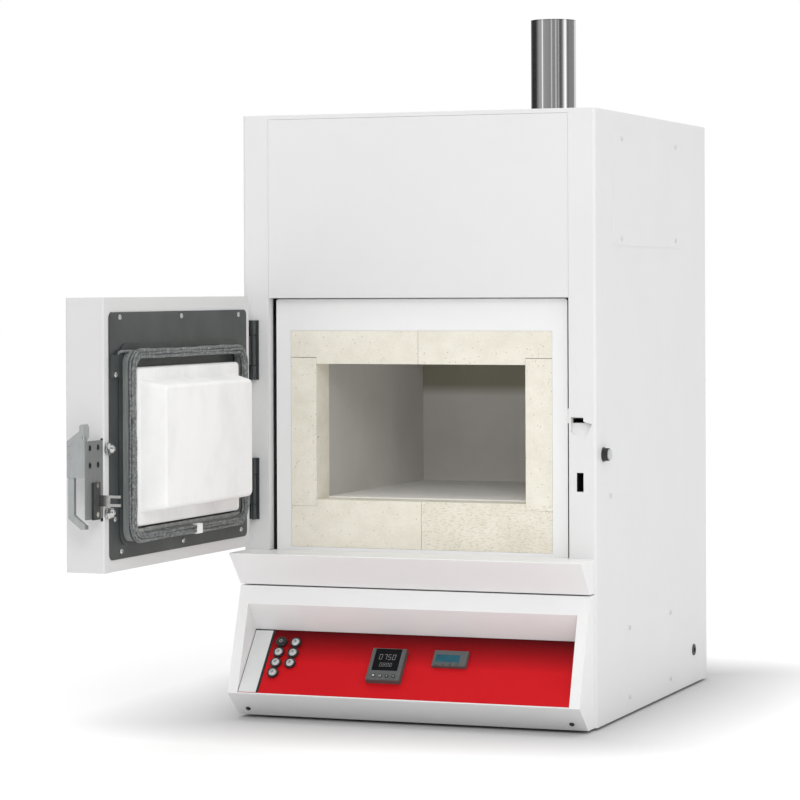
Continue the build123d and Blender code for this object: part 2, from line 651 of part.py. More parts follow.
# Controllers: a bezel on the panel, a body behind it, wells for the window and the keys.
with BuildPart() as temperature_controller:
    panel_box(
        (TEMP_AT[0] - TEMP_SIZE[0] / 2, TEMP_AT[0] + TEMP_SIZE[0] / 2),
        (TEMP_AT[1] - TEMP_SIZE[1] / 2, TEMP_AT[1] + TEMP_SIZE[1] / 2),
        (0, TEMP_SIZE[2]),
    )
    chamfer(temperature_controller.faces().sort_by(OUT_OF_PANEL)[-1].edges(), 1.2)
    panel_box(
        (TEMP_AT[0] - TEMP_BODY[0] / 2, TEMP_AT[0] + TEMP_BODY[0] / 2),
        (TEMP_AT[1] - TEMP_BODY[1] / 2, TEMP_AT[1] + TEMP_BODY[1] / 2),
        (-TEMP_BODY[2], 0),
    )
    panel_box(
        (TEMP_WINDOW_AT[0] - TEMP_WINDOW[0] / 2, TEMP_WINDOW_AT[0] + TEMP_WINDOW[0] / 2),
        (TEMP_WINDOW_AT[1] - TEMP_WINDOW[1] / 2, TEMP_WINDOW_AT[1] + TEMP_WINDOW[1] / 2),
        (TEMP_SIZE[2] - WINDOW_DEPTH, TEMP_SIZE[2] + 1),
        Mode.SUBTRACT,
    )
    for x in TEMP_KEYS_X:
        well = (TEMP_SIZE[2] - 4, TEMP_SIZE[2] + 1)
        panel_disc((x, TEMP_KEYS_U), well, TEMP_KEY_R + KEY_PLAY, Mode.SUBTRACT)

with BuildPart() as overtemp_controller:
    panel_box(
        (OVER_AT[0] - OVER_SIZE[0] / 2, OVER_AT[0] + OVER_SIZE[0] / 2),
        (OVER_AT[1] - OVER_SIZE[1] / 2, OVER_AT[1] + OVER_SIZE[1] / 2),
        (0, OVER_SIZE[2]),
    )
    chamfer(overtemp_controller.faces().sort_by(OUT_OF_PANEL)[-1].edges(), 0.8)
    panel_box(
        (OVER_AT[0] - OVER_BODY[0] / 2, OVER_AT[0] + OVER_BODY[0] / 2),
        (OVER_AT[1] - OVER_BODY[1] / 2, OVER_AT[1] + OVER_BODY[1] / 2),
        (-OVER_BODY[2], 0),
    )
    panel_box(
        (OVER_WINDOW_AT[0] - OVER_WINDOW[0] / 2, OVER_WINDOW_AT[0] + OVER_WINDOW[0] / 2),
        (OVER_WINDOW_AT[1] - OVER_WINDOW[1] / 2, OVER_WINDOW_AT[1] + OVER_WINDOW[1] / 2),
        (OVER_SIZE[2] - WINDOW_DEPTH, OVER_SIZE[2] + 1),
        Mode.SUBTRACT,
    )
    for x in OVER_KEYS_X:
        well = (OVER_SIZE[2] - 3, OVER_SIZE[2] + 1)
        panel_disc((x, OVER_KEYS_U), well, OVER_KEY_R + KEY_PLAY, Mode.SUBTRACT)

with BuildPart() as controller_windows:
    panel_box(
        (TEMP_WINDOW_AT[0] - TEMP_WINDOW[0] / 2 + 0.1, TEMP_WINDOW_AT[0] + TEMP_WINDOW[0] / 2 - 0.1),
        (TEMP_WINDOW_AT[1] - TEMP_WINDOW[1] / 2 + 0.1, TEMP_WINDOW_AT[1] + TEMP_WINDOW[1] / 2 - 0.1),
        (TEMP_SIZE[2] - WINDOW_DEPTH, TEMP_SIZE[2] - 0.2),
    )
    panel_box(
        (OVER_WINDOW_AT[0] - OVER_WINDOW[0] / 2 + 0.1, OVER_WINDOW_AT[0] + OVER_WINDOW[0] / 2 - 0.1),
        (OVER_WINDOW_AT[1] - OVER_WINDOW[1] / 2 + 0.1, OVER_WINDOW_AT[1] + OVER_WINDOW[1] / 2 - 0.1),
        (OVER_SIZE[2] - WINDOW_DEPTH, OVER_SIZE[2] - 0.2),
    )

# Bricks around the mouth: a split sill, a split lintel and two jambs seated in their rebates.
with BuildPart() as front_bricks:
    block((-BRICK_X, SILL_JOINT_X - BRICK_JOINT / 2), (FRAME_Y, BRICK_BACK), (BRICK_Z[0], MOUTH_Z[0]))
    block((SILL_JOINT_X + BRICK_JOINT / 2, BRICK_X), (FRAME_Y, BRICK_BACK), (BRICK_Z[0], MOUTH_Z[0]))
    block((-BRICK_X, LINTEL_JOINT_X - BRICK_JOINT / 2), (FRAME_Y, BRICK_BACK), (MOUTH_Z[1], BRICK_Z[1]))
    block((LINTEL_JOINT_X + BRICK_JOINT / 2, BRICK_X), (FRAME_Y, BRICK_BACK), (MOUTH_Z[1], BRICK_Z[1]))
    for x in ((-BRICK_X - 1, -MOUTH_X), (MOUTH_X, BRICK_X + 1)):
        block(x, (FRAME_Y - 1, BRICK_BACK + 1), (MOUTH_Z[0] - REBATE, MOUTH_Z[1] + REBATE), Mode.SUBTRACT)
    for x in ((-BRICK_X, -MOUTH_X - JAMB_GAP[0]), (MOUTH_X + JAMB_GAP[0], BRICK_X)):
        z = (MOUTH_Z[0] - REBATE + JAMB_GAP[0], MOUTH_Z[1] + REBATE - JAMB_GAP[1])
        block(x, (FRAME_Y, BRICK_BACK), z)

# Chamber lining: hearth, two sides, roof and rear, as separate slabs.
with BuildPart() as chamber_lining:
    block((-MOUTH_X, MOUTH_X), (BRICK_BACK, CHAMBER_BACK), (LINING_BOTTOM, HEARTH_Z))
    block((-LINING_X, -MOUTH_X - 0.1), (BRICK_BACK, CHAMBER_BACK), (LINING_BOTTOM, MOUTH_Z[1] - 0.1))
    block((MOUTH_X + 0.1, LINING_X), (BRICK_BACK, CHAMBER_BACK), (LINING_BOTTOM, MOUTH_Z[1] - 0.1))
    block((-LINING_X, LINING_X), (BRICK_BACK, LINING_BACK), (MOUTH_Z[1], LINING_TOP))
    block(
        (-LINING_X, LINING_X),
        (CHAMBER_BACK + 0.1, LINING_BACK),
        (LINING_BOTTOM, MOUTH_Z[1] - 0.1),
    )
    rod(
        (0, FLUE_Y, MOUTH_Z[1] - 1),
        (0, FLUE_Y, LINING_TOP + 1),
        FLUE_BORE_R,
        Mode.SUBTRACT,
    )
    rod(
        (THERMO_X, CHAMBER_BACK - 1, THERMO_Z),
        (THERMO_X, LINING_BACK + 1, THERMO_Z),
        THERMO_R + 0.2,
        Mode.SUBTRACT,
    )

# Insulation: boards under, over, beside and behind the lining.
with BuildPart() as insulation:
    block((-CASE_IN_X, CASE_IN_X), (FRAME_Y + SHEET, BRICK_BACK), (DECK_TOP, BRICK_Z[0]))
    block((-CASE_IN_X, CASE_IN_X), (BRICK_BACK, CASE_IN_BACK), (DECK_TOP, LINING_BOTTOM))

with BuildPart() as upper_board:
    block((-CASE_IN_X, CASE_IN_X), (FRAME_Y + SHEET, BRICK_BACK), (BRICK_Z[1], CASE_IN_TOP))
    block((-CASE_IN_X, CASE_IN_X), (BRICK_BACK, CASE_IN_BACK), (LINING_TOP, CASE_IN_TOP))
    rod(
        (0, FLUE_Y, LINING_TOP - 1),
        (0, FLUE_Y, CASE_IN_TOP + 1),
        FLUE_R + FIT_GAP,
        Mode.SUBTRACT,
    )

with BuildPart() as side_board:
    block(
        (ELEMENT_X + ELEMENT_GAP / 2, CASE_IN_X),
        (BRICK_BACK, LINING_BACK),
        (LINING_BOTTOM, LINING_TOP - 0.1),
    )
    block((REAR_BOARD_X + 0.1, CASE_IN_X), (LINING_BACK, CASE_IN_BACK), (LINING_BOTTOM, LINING_TOP - 0.1))
    block((BRICK_X, CASE_IN_X), (FRAME_Y + SHEET, BRICK_BACK), (BRICK_Z[0], BRICK_Z[1] - 0.1))

with BuildPart() as rear_board:
    block(
        (-REAR_BOARD_X, REAR_BOARD_X),
        (LINING_BACK + 0.1, CASE_IN_BACK),
        (LINING_BOTTOM, LINING_TOP - 0.1),
    )
    for x in (-ELEMENT_X, ELEMENT_X):
        for z in ELEMENT_Z:
            rod((x, LINING_BACK - 1, z), (x, CASE_IN_BACK + 1, z), ELEMENT_HOLE_R, Mode.SUBTRACT)
    rod(
        (THERMO_X, LINING_BACK - 1, THERMO_Z),
        (THERMO_X, CASE_IN_BACK + 1, THERMO_Z),
        THERMO_R + 0.2,
        Mode.SUBTRACT,
    )

# Inner case: the sheet box around the insulation, on a deck that rests on the side panels.
with BuildPart() as inner_case:
    block(
        (-CASE_IN_X - SHEET, CASE_IN_X + SHEET),
        (FRAME_Y + SHEET, CASE_IN_BACK + SHEET),
        (DECK_TOP - 0.5, CASE_IN_TOP + SHEET),
    )
    block(
        (-HALF_W + SHEET + FIT_GAP, HALF_W - SHEET - FIT_GAP),
        (LIP_D + SHEET + 0.5, CASE_D - LIP_D - SHEET - 0.5),
        (DECK_Z, DECK_TOP),
    )
    block(
        (-CASE_IN_X, CASE_IN_X),
        (FRAME_Y, CASE_IN_BACK),
        (DECK_TOP, CASE_IN_TOP),
        Mode.SUBTRACT,
    )
    block(
        (-CASE_IN_X - 5, CASE_IN_X + 5),
        (FRAME_Y, LIP_D + SHEET + 0.5),
        (DECK_Z - 1, DECK_TOP),
        Mode.SUBTRACT,
    )
    rod(
        (0, FLUE_Y, CASE_IN_TOP - 1),
        (0, FLUE_Y, CASE_IN_TOP + SHEET + 1),
        FLUE_R + FIT_GAP,
        Mode.SUBTRACT,
    )
    for x in (-ELEMENT_X, ELEMENT_X):
        for z in ELEMENT_Z:
            rod((x, CASE_IN_BACK - 1, z), (x, CASE_IN_BACK + 5, z), ELEMENT_HOLE_R, Mode.SUBTRACT)
    rod(
        (THERMO_X, CASE_IN_BACK - 1, THERMO_Z),
        (THERMO_X, CASE_IN_BACK + 5, THERMO_Z),
        THERMO_R + 0.2,
        Mode.SUBTRACT,
    )

# Heating elements: one rod on each side, bent to and fro behind the lining.
with BuildPart() as heating_elements:
    with BuildLine(side_plane(ELEMENT_X)) as element_path:
        Line((TERMINAL_Y, ELEMENT_Z[0]), (ELEMENT_Y[0], ELEMENT_Z[0]))
        for number in range(ELEMENT_PASSES - 1):
            z = ELEMENT_Z[0] + number * ELEMENT_PITCH
            near = ELEMENT_Y[number % 2]
            far = ELEMENT_Y[1 - number % 2] if number < ELEMENT_PASSES - 2 else TERMINAL_Y
            bulge = ELEMENT_PITCH / 2 * (1 if number % 2 else -1)
            ThreePointArc((near, z), (near + bulge, z + ELEMENT_PITCH / 2), (near, z + ELEMENT_PITCH))
            Line((near, z + ELEMENT_PITCH), (far, z + ELEMENT_PITCH))
    with BuildSketch(Plane(origin=at(ELEMENT_X, TERMINAL_Y, ELEMENT_Z[0]), z_dir=(0, -1, 0))):
        Circle(ELEMENT_R)
    sweep(path=element_path.line)

with BuildPart() as thermocouple:
    rod((THERMO_X, CHAMBER_BACK - THERMO_REACH, THERMO_Z), (THERMO_X, TERMINAL_Y - 10, THERMO_Z), THERMO_R)
    head = (THERMO_Z - 14, THERMO_Z + 14)
    block((THERMO_X - 18, THERMO_X + 18), (CASE_IN_BACK + SHEET, TERMINAL_Y), head)

# Flue: a bent duct from the chamber's roof to a box on the rear panel.
with BuildPart() as flue_bend:
    with BuildLine(side_plane(0)) as flue_path:
        Line((FLUE_Y, LINING_TOP), (FLUE_Y, FLUE_Z - FLUE_BEND_R))
        ThreePointArc(
            (FLUE_Y, FLUE_Z - FLUE_BEND_R),
            (FLUE_Y + FLUE_BEND_R * (1 - cos(radians(45))), FLUE_Z - FLUE_BEND_R * (1 - sin(radians(45)))),
            (FLUE_Y + FLUE_BEND_R, FLUE_Z),
        )
        Line((FLUE_Y + FLUE_BEND_R, FLUE_Z), (CASE_D + 12, FLUE_Z))
    with BuildSketch(Plane(origin=at(0, FLUE_Y, LINING_TOP), z_dir=(0, 0, 1))):
        Circle(FLUE_R)
        Circle(FLUE_BORE_R, mode=Mode.SUBTRACT)
    sweep(path=flue_path.line)

with BuildPart() as flue_box:
    block((-BOX_X, BOX_X), (CASE_D, 2 * CHIMNEY_Y - CASE_D), BOX_Z)
    fillet(flue_box.edges().filter_by(Axis.Z), 3.0)
    rod(
        (0, CHIMNEY_Y, BOX_Z[1]),
        (0, CHIMNEY_Y, BOX_Z[1] + SPIGOT_H),
        CHIMNEY_R - CHIMNEY_WALL - FIT_GAP,
    )
    block(
        (-BOX_X + SHEET, BOX_X - SHEET),
        (CASE_D + SHEET, 2 * CHIMNEY_Y - CASE_D - SHEET),
        (BOX_Z[0] + SHEET, BOX_Z[1] - SHEET),
        Mode.SUBTRACT,
    )
    rod(
        (0, CHIMNEY_Y, BOX_Z[1] - 5),
        (0, CHIMNEY_Y, BOX_Z[1] + SPIGOT_H + 1),
        CHIMNEY_R - CHIMNEY_WALL - FIT_GAP - SHEET,
        Mode.SUBTRACT,
    )
    rod((0, CASE_D - 1, FLUE_Z), (0, CASE_D + 5, FLUE_Z), FLUE_R + FIT_GAP, Mode.SUBTRACT)

with BuildPart() as chimney:
    rod((0, CHIMNEY_Y, BOX_Z[1]), (0, CHIMNEY_Y, CHIMNEY_TOP), CHIMNEY_R)
    rod(
        (0, CHIMNEY_Y, BOX_Z[1] - 1),
        (0, CHIMNEY_Y, CHIMNEY_TOP + 1),
        CHIMNEY_R - CHIMNEY_WALL,
        Mode.SUBTRACT,
    )

# Parts inside the base and the right pillar.
with BuildPart() as contactor:
    block((60, 110), (300, 380), (SHEET, 14))
    block((64, 106), (306, 374), (14, 62))
    block((68, 102), (318, 362), (62, 74))

with BuildPart() as interlock_switch:
    block((PILLAR_X + 4, PILLAR_X + 28), (SHEET, SWITCH_D), (SLOT_Z[0] - 10.5, SLOT_Z[1] + 9.5))
    block(SLOT_X, (SHEET - 1, SWITCH_D - 12), SLOT_Z, Mode.SUBTRACT)

# Right side: cable inlet, push button and access cover.
with BuildPart() as side_grommet:
    rod((HALF_W, *GROMMET_AT), (HALF_W + 1.6, *GROMMET_AT), GROMMET_R)
    fillet(side_grommet.edges().sort_by(Axis.X)[-1], 0.7)
    rod((HALF_W - 4, *GROMMET_AT), (HALF_W + 0.5, *GROMMET_AT), GROMMET_R - 1.7)
    rod((HALF_W - 5, *GROMMET_AT), (HALF_W + 3, *GROMMET_AT), 4.2, Mode.SUBTRACT)

with BuildPart() as side_button_body:
    rod((HALF_W, *SIDE_BUTTON_AT), (HALF_W + 2.6, *SIDE_BUTTON_AT), SIDE_FLANGE_R)
    fillet(side_button_body.edges().sort_by(Axis.X)[-1], 0.8)
    rod((HALF_W + 2, *SIDE_BUTTON_AT), (HALF_W + 8.0, *SIDE_BUTTON_AT), SIDE_BARREL_R)
    rod((HALF_W - 16, *SIDE_BUTTON_AT), (HALF_W + 1, *SIDE_BUTTON_AT), 6.0)
    rod(
        (HALF_W + 2.5, *SIDE_BUTTON_AT),
        (HALF_W + 9, *SIDE_BUTTON_AT),
        SIDE_BUTTON_R + SIDE_PLAY,
        Mode.SUBTRACT,
    )

with BuildPart() as access_cover:
    with BuildSketch(side_plane(HALF_W)) as cover_outline:
        with Locations((sum(COVER_Y) / 2, sum(COVER_Z) / 2)):
            RectangleRounded(COVER_Y[1] - COVER_Y[0], COVER_Z[1] - COVER_Z[0], 6)
    extrude(amount=COVER_T)
    for y, z in COVER_SCREWS:
        rod((HALF_W - 1, y, z), (HALF_W + 2, y, z), SCREW_HOLE_R, Mode.SUBTRACT)

with BuildPart() as casing_screws:
    for y, z in COVER_SCREWS:
        pan_screw((HALF_W + COVER_T, y, z), (1, 0, 0), 6)
    for y, z in LOW_SCREWS:
        pan_screw((HALF_W, y, z), (1, 0, 0), 6)
        pan_screw((-HALF_W, y, z), (-1, 0, 0), 6)
    pan_screw((HALF_W, *SMALL_SCREW), (1, 0, 0), 6)
    for x in (-LIP_SCREW_X, LIP_SCREW_X):
        pan_screw((x, *LIP_SCREW_AT), (0, -LIP_RUN[1], -LIP_RUN[0]), 6)

with BuildPart() as feet:
    for x in (-HALF_W + FOOT_IN[0], HALF_W - FOOT_IN[0]):
        for y in (FOOT_IN[1], CASE_D - FOOT_IN[1]):
            rod((x, y, -FOOT_H), (x, y, 0), FOOT_R)
    chamfer(feet.edges().group_by(Axis.Z)[0], 0.8)

# Hinges: the frame's leaf carries the pin, and the door's leaf turns on it.
with BuildPart() as frame_hinges:
    for low, mid_low, mid_high, high in HINGES:
        for z in ((low, mid_low - KNUCKLE_GAP), (mid_high + KNUCKLE_GAP, high)):
            knuckle(z, KNUCKLE_R)
            block(
                (PIN_X - KNUCKLE_R * 0.65, PIN_X + KNUCKLE_R * 0.65),
                (PIN_Y + KNUCKLE_R * 0.65, -LEAF_T / 2),
                (z[0] + KNUCKLE_BEVEL, z[1] - KNUCKLE_BEVEL),
            )
        rod((PIN_X, PIN_Y, low), (PIN_X, PIN_Y, high), PIN_R)
        block((-HALF_W + 3.5, -HALF_W + 3.5 + LEAF_W), (-LEAF_T, 0), (low, high))

with BuildPart() as door_hinges:
    for low, mid_low, mid_high, high in HINGES:
        knuckle((mid_low + KNUCKLE_GAP, mid_high - KNUCKLE_GAP), KNUCKLE_R)
        block(
            (PIN_X, -DOOR_X),
            (PIN_Y - KNUCKLE_R + 0.2, PIN_Y - KNUCKLE_R + LEAF_T),
            (mid_low + KNUCKLE_GAP + KNUCKLE_BEVEL, mid_high - KNUCKLE_GAP - KNUCKLE_BEVEL),
        )
        block((-DOOR_X - LEAF_T, -DOOR_X), (PIN_Y - LEAF_REACH, PIN_Y - KNUCKLE_R + LEAF_T), (low, high))
    for low, mid_low, mid_high, high in HINGES:
        rod((PIN_X, PIN_Y, mid_low), (PIN_X, PIN_Y, mid_high), PIN_R + PIN_PLAY, Mode.SUBTRACT)

# Door shell: skin, four edges and the inner rim, with a slot for the latch bracket's web.
with BuildPart() as door_shell:
    upright((-DOOR_X, DOOR_X), (door_y(DOOR_T), door_y(0)), DOOR_Z, 2.5)
    upright(
        (-DOOR_X + SHEET, DOOR_X - SHEET),
        (door_y(DOOR_T - SHEET), door_y(SHEET)),
        (DOOR_Z[0] + SHEET, DOOR_Z[1] - SHEET),
        1.0,
        Mode.SUBTRACT,
    )
    door_block((-RIM_X, RIM_X), (-1, SHEET + 1), RIM_Z, Mode.SUBTRACT)
    door_block((DOOR_X - 5, DOOR_X + 1), (SHEET, WEB_SLOT_D), WEB_SLOT_Z, Mode.SUBTRACT)
    for x, z in (*DOOR_SCREWS, TAB_SCREW):
        rod((x, door_y(-1), z), (x, door_y(5), z), SCREW_HOLE_R, Mode.SUBTRACT)
    for x, z in DOME_NUTS:
        rod((x, door_y(-1), z), (x, door_y(5), z), 3.2, Mode.SUBTRACT)

with BuildPart() as door_back_plate:
    door_facing((-PLATE_X, PLATE_X), (-SHEET, 0), PLATE_Z, 8)
    middle = (PLUG_Z[0] + 12, PLUG_Z[1] - 12)
    door_block((-PLUG_X + 12, PLUG_X - 12), (-SHEET - 1, 1), middle, Mode.SUBTRACT)
    door_facing(TAB_X, (-SHEET - TAB_T, -SHEET), TAB_Z, 1.5)
    for x, z in (*DOOR_SCREWS, TAB_SCREW):
        rod((x, door_y(-5), z), (x, door_y(5), z), SCREW_HOLE_R, Mode.SUBTRACT)

with BuildPart() as door_insulation:
    door_block((-RIM_X + 0.5, RIM_X - 0.5), (0, DOOR_T - SHEET), (RIM_Z[0] + 0.5, RIM_Z[1] - 0.5))
    for x, z in (*DOOR_SCREWS, TAB_SCREW):
        rod((x, door_y(-1), z), (x, door_y(8), z), 3.5, Mode.SUBTRACT)

with BuildPart() as seal_collar:
    door_facing((-COLLAR_X, COLLAR_X), (COLLAR_D, -SHEET), COLLAR_Z, 16)
    door_facing((-COLLAR_FOOT_X, COLLAR_FOOT_X), (-2 * SHEET, -SHEET), COLLAR_FOOT_Z, 20)
    door_facing(
        (-SEAL_X + SEAL_W, SEAL_X - SEAL_W),
        (COLLAR_D - 1, 0),
        (LEDGE_Z, SEAL_Z[1] - SEAL_W),
        6,
        Mode.SUBTRACT,
    )

# Rope seal: a loop of rope, thinner where the joining clip holds its ends.
with BuildPart() as rope_seal:
    door_facing((-SEAL_X, SEAL_X), SEAL_D, SEAL_Z, SEAL_R)
    door_facing(
        (-SEAL_X + SEAL_W, SEAL_X - SEAL_W),
        (SEAL_D[0] - 1, SEAL_D[1] + 1),
        (SEAL_Z[0] + SEAL_W, SEAL_Z[1] - SEAL_W),
        SEAL_R - SEAL_W,
        Mode.SUBTRACT,
    )
    fillet(rope_seal.edges().filter_by(lambda e: abs(e.tangent_at(0.5).Y) < 0.1), 3.4)
    clip_z = (SEAL_Z[0] - 1, SEAL_Z[0] + SEAL_W + 1)
    door_block(CLIP_X, (SEAL_D[0] - 1, SEAL_D[1] + 1), clip_z, Mode.SUBTRACT)
    door_block(
        (CLIP_X[0] - 0.01, CLIP_X[1] + 0.01),
        (SEAL_D[0] + 1.2, SEAL_D[1] - 1.2),
        (SEAL_Z[0] + 1.7, SEAL_Z[0] + SEAL_W - 1.7),
    )

with BuildPart() as seal_clip:
    door_block(
        (CLIP_X[0] + 0.3, CLIP_X[1] - 0.3),
        (SEAL_D[0] - 0.1, SEAL_D[1] + 0.1),
        (SEAL_Z[0] - 0.3, SEAL_Z[0] + SEAL_W + 0.3),
    )
    fillet(seal_clip.edges().filter_by(Axis.X), 1.5)
    door_block(
        CLIP_X,
        (SEAL_D[0] + 1.1, SEAL_D[1] - 1.1),
        (SEAL_Z[0] + 1.6, SEAL_Z[0] + SEAL_W - 1.6),
        Mode.SUBTRACT,
    )

# Plug: the insulating block that fills the chamber's mouth when the door is shut.
with BuildPart() as door_plug:
    door_facing((-PLUG_X, PLUG_X), (PLUG_D, -SHEET), PLUG_Z, 6)
    fillet(door_plug.faces().sort_by(Axis.Y)[-1].edges(), 3.5)
    with BuildSketch(front_plane(door_y(PLUG_D) - 1)) as plug_foot:
        with Locations((0, PLUG_MID_Z)):
            RectangleRounded(*PLUG_FOOT, 6)
    with BuildSketch(front_plane(door_y(PLUG_TIP_D))) as plug_tip:
        with Locations((0, PLUG_MID_Z)):
            RectangleRounded(*PLUG_TIP, 8)
    loft([plug_foot.sketch.face(), plug_tip.sketch.face()])
    fillet(door_plug.faces().sort_by(Axis.Y)[-1].edges(), 5.0)

# Latch bracket: a flat web through the door's edge, folded at its outer end to a plate.
with BuildPart() as latch_bracket:
    door_block(WEB_X, WEB_D, WEB_Z)
    prism(
        (
            (door_y(WEB_D[0]), WEB_Z[1] - FLANGE_H),
            (door_y(FLANGE_D), WEB_Z[1] - FLANGE_H),
            (door_y(FLANGE_D), WEB_Z[1]),
            (door_y(12), WEB_Z[1] + 12.5),
            (door_y(12), WEB_Z[1] + CURL_H - 2),
            (door_y(10), WEB_Z[1] + CURL_H),
            (door_y(6), WEB_Z[1] + CURL_H),
            (door_y(6), WEB_Z[1] + 4.5),
            (door_y(WEB_D[1]), WEB_Z[1]),
            (door_y(WEB_D[0]), WEB_Z[1]),
        ),
        side_plane(WEB_X[1] - FLANGE_T),
        FLANGE_T,
    )
    prism(
        (
            (WEB_X[1], WEB_Z[1] + 4.5),
            (WEB_X[1], WEB_Z[1] + CURL_H),
            (WEB_X[1] - 12, WEB_Z[1] + CURL_H),
            (WEB_X[1] - 15, WEB_Z[1] + CURL_H - 4),
            (WEB_X[1] - 15, WEB_Z[1] + 5.5),
            (WEB_X[1] - 6, WEB_Z[1] - 2.5),
            (WEB_X[1] - 3, WEB_Z[1] - 2.5),
        ),
        front_plane(door_y(6)),
        2,
    )
    door_block((WEB_X[1] - 6, WEB_X[1] + 0.5), (4.5, 8), (WEB_Z[1] + 2, WEB_Z[1] + 6), Mode.SUBTRACT)
    for x, z in WEB_HOLES:
        rod((x, door_y(-1), z), (x, door_y(6), z), WEB_HOLE_R, Mode.SUBTRACT)
    for x, z in DOME_NUTS:
        rod((x, door_y(-1), z), (x, door_y(6), z), 3.2, Mode.SUBTRACT)
    for d, z in RIVETS:
        rod((WEB_X[1] - 5, door_y(d), z), (WEB_X[1] + 1, door_y(d), z), 2.6, Mode.SUBTRACT)
    for z in KEY_BOLTS_Z:
        rod((KEY_BOLT_X, door_y(-1), z), (KEY_BOLT_X, door_y(6), z), 2.2, Mode.SUBTRACT)

# Handle arm: a bar riveted behind the plate, with its foot curled in towards the door.
with BuildPart() as handle_arm:
    prism(
        (
            (door_y(FLANGE_D - 13), WEB_Z[1] - 38.5),
            (door_y(FLANGE_D - 0.5), WEB_Z[1] - 38.5),
            (door_y(FLANGE_D - 0.5), WEB_Z[1] - 0.5),
            (door_y(FLANGE_D - 13), WEB_Z[1] - 0.5),
        ),
        side_plane(WEB_X[1] - 2 * FLANGE_T),
        FLANGE_T,
    )
    prism(
        (
            (door_y(ARM_D[0]), WEB_Z[1] - FLANGE_H - 0.3),
            (door_y(ARM_D[1]), WEB_Z[1] - FLANGE_H - 0.3),
            (door_y(ARM_D[1]), WEB_Z[1] - 94.5),
            (door_y(10), WEB_Z[1] - 108),
            (door_y(2.8), WEB_Z[1] - 107.5),
            (door_y(2.8), WEB_Z[1] - 103.5),
            (door_y(ARM_D[0]), WEB_Z[1] - 90.5),
        ),
        side_plane(WEB_X[1] - 2 * FLANGE_T),
        2 * FLANGE_T,
    )
    prism(
        (
            (door_y(ARM_D[0]), WEB_Z[1] - FLANGE_H - 0.5),
            (door_y(ARM_D[1]), WEB_Z[1] - FLANGE_H - 0.5),
            (door_y(ARM_D[1]), WEB_Z[1] - 37.5),
            (door_y(ARM_D[0]), WEB_Z[1] - 37.5),
        ),
        side_plane(WEB_X[1] - 2 * FLANGE_T),
        FLANGE_T,
    )
    for d, z in RIVETS:
        rod((WEB_X[1] - 5, door_y(d), z), (WEB_X[1], door_y(d), z), 2.5)
        with Locations(Plane(origin=at(WEB_X[1], door_y(d), z), z_dir=(1, 0, 0))):
            Cone(3.25, 2.2, 1.4, align=(Align.CENTER, Align.CENTER, Align.MIN))

# Interlock key: a black foot on the web and a forked tongue for the slot in the pillar.
with BuildPart() as interlock_key:
    door_block(KEY_PLATE_X, (-1.5, 1.5), KEY_PLATE_Z)
    for z in KEY_BOLTS_Z:
        rod((KEY_BOLT_X, door_y(-0.8), z), (KEY_BOLT_X, door_y(-2.4), z), 3.4)
        rod((KEY_BOLT_X, door_y(-0.8), z), (KEY_BOLT_X, door_y(7), z), 2.0)
    door_block(TONGUE_X, (-1.5 - TONGUE_L, -1.4), TONGUE_Z)
    door_block(
        (TONGUE_X[0] - 1, TONGUE_X[1] + 1),
        (-2.5 - TONGUE_L, -16),
        (TONGUE_Z[0] + 3.4, TONGUE_Z[1] - 3.4),
        Mode.SUBTRACT,
    )

with BuildPart() as door_screws:
    for x, z in DOOR_SCREWS:
        pan_screw((x, door_y(-SHEET), z), (0, 1, 0), 7)
    pan_screw((TAB_SCREW[0], door_y(-SHEET - TAB_T), TAB_SCREW[1]), (0, 1, 0), 7 + TAB_T)

with BuildPart() as dome_nuts:
    for x, z in DOME_NUTS:
        rod((x, door_y(0), z), (x, door_y(-SHEET), z), 4.8)
        rod((x, door_y(-SHEET), z), (x, door_y(-2.7), z), 7.8)
        with BuildSketch(front_plane(door_y(-7.2))) as hexagon:
            with Locations((x, z)):
                RegularPolygon(7.0, 6)
        extrude(hexagon.sketch, amount=4.6)
        with Locations(at(x, door_y(-5.6), z)):
            Sphere(5.8)
        rod((x, door_y(1), z), (x, door_y(-2), z), 3.0)
        rod((x, door_y(0), z), (x, door_y(9), z), 3.0)

# Power button: the black one of the seven.
with BuildPart() as power_button:
    panel_disc(POWER_AT, (BUTTON_BACK, BUTTON_TOP - 0.6), BUTTON_R)
    fillet(power_button.edges().sort_by(OUT_OF_PANEL)[-1], 0.6)

base_tray.part.label = "base_tray"
export_step(base_tray.part, "parts/base_tray.step")
side_panel_left.part.label = "side_panel_left"
export_step(side_panel_left.part, "parts/side_panel_left.step")
panel_and_pocket = Compound(
    label="side_panel_right",
    children=[*side_panel_right.part.solids(), *catch_pocket.part.solids()],
)
export_step(panel_and_pocket, "parts/side_panel_right.step")
top_cover.part.label = "top_cover"
export_step(top_cover.part, "parts/top_cover.step")
rear_panel.part.label = "rear_panel"
export_step(rear_panel.part, "parts/rear_panel.step")
top_front_panel.part.label = "top_front_panel"
export_step(top_front_panel.part, "parts/top_front_panel.step")
front_frame.part.label = "front_frame"
export_step(front_frame.part, "parts/front_frame.step")
shelf.part.label = "shelf"
export_step(shelf.part, "parts/shelf.step")
control_housing.part.label = "control_housing"
export_step(control_housing.part, "parts/control_housing.step")
facia.part.label = "facia"
export_step(facia.part, "parts/facia.step")
label_strip.part.label = "label_strip"
export_step(label_strip.part, "parts/label_strip.step")
button_rings.part.label = "button_rings"
export_step(button_rings.part, "parts/button_rings.step")
temperature_controller.part.label = "temperature_controller"
export_step(temperature_controller.part, "parts/temperature_controller.step")
overtemp_controller.part.label = "overtemp_controller"
export_step(overtemp_controller.part, "parts/overtemp_controller.step")
controller_windows.part.label = "controller_windows"
export_step(controller_windows.part, "parts/controller_windows.step")
front_bricks.part.label = "front_bricks"
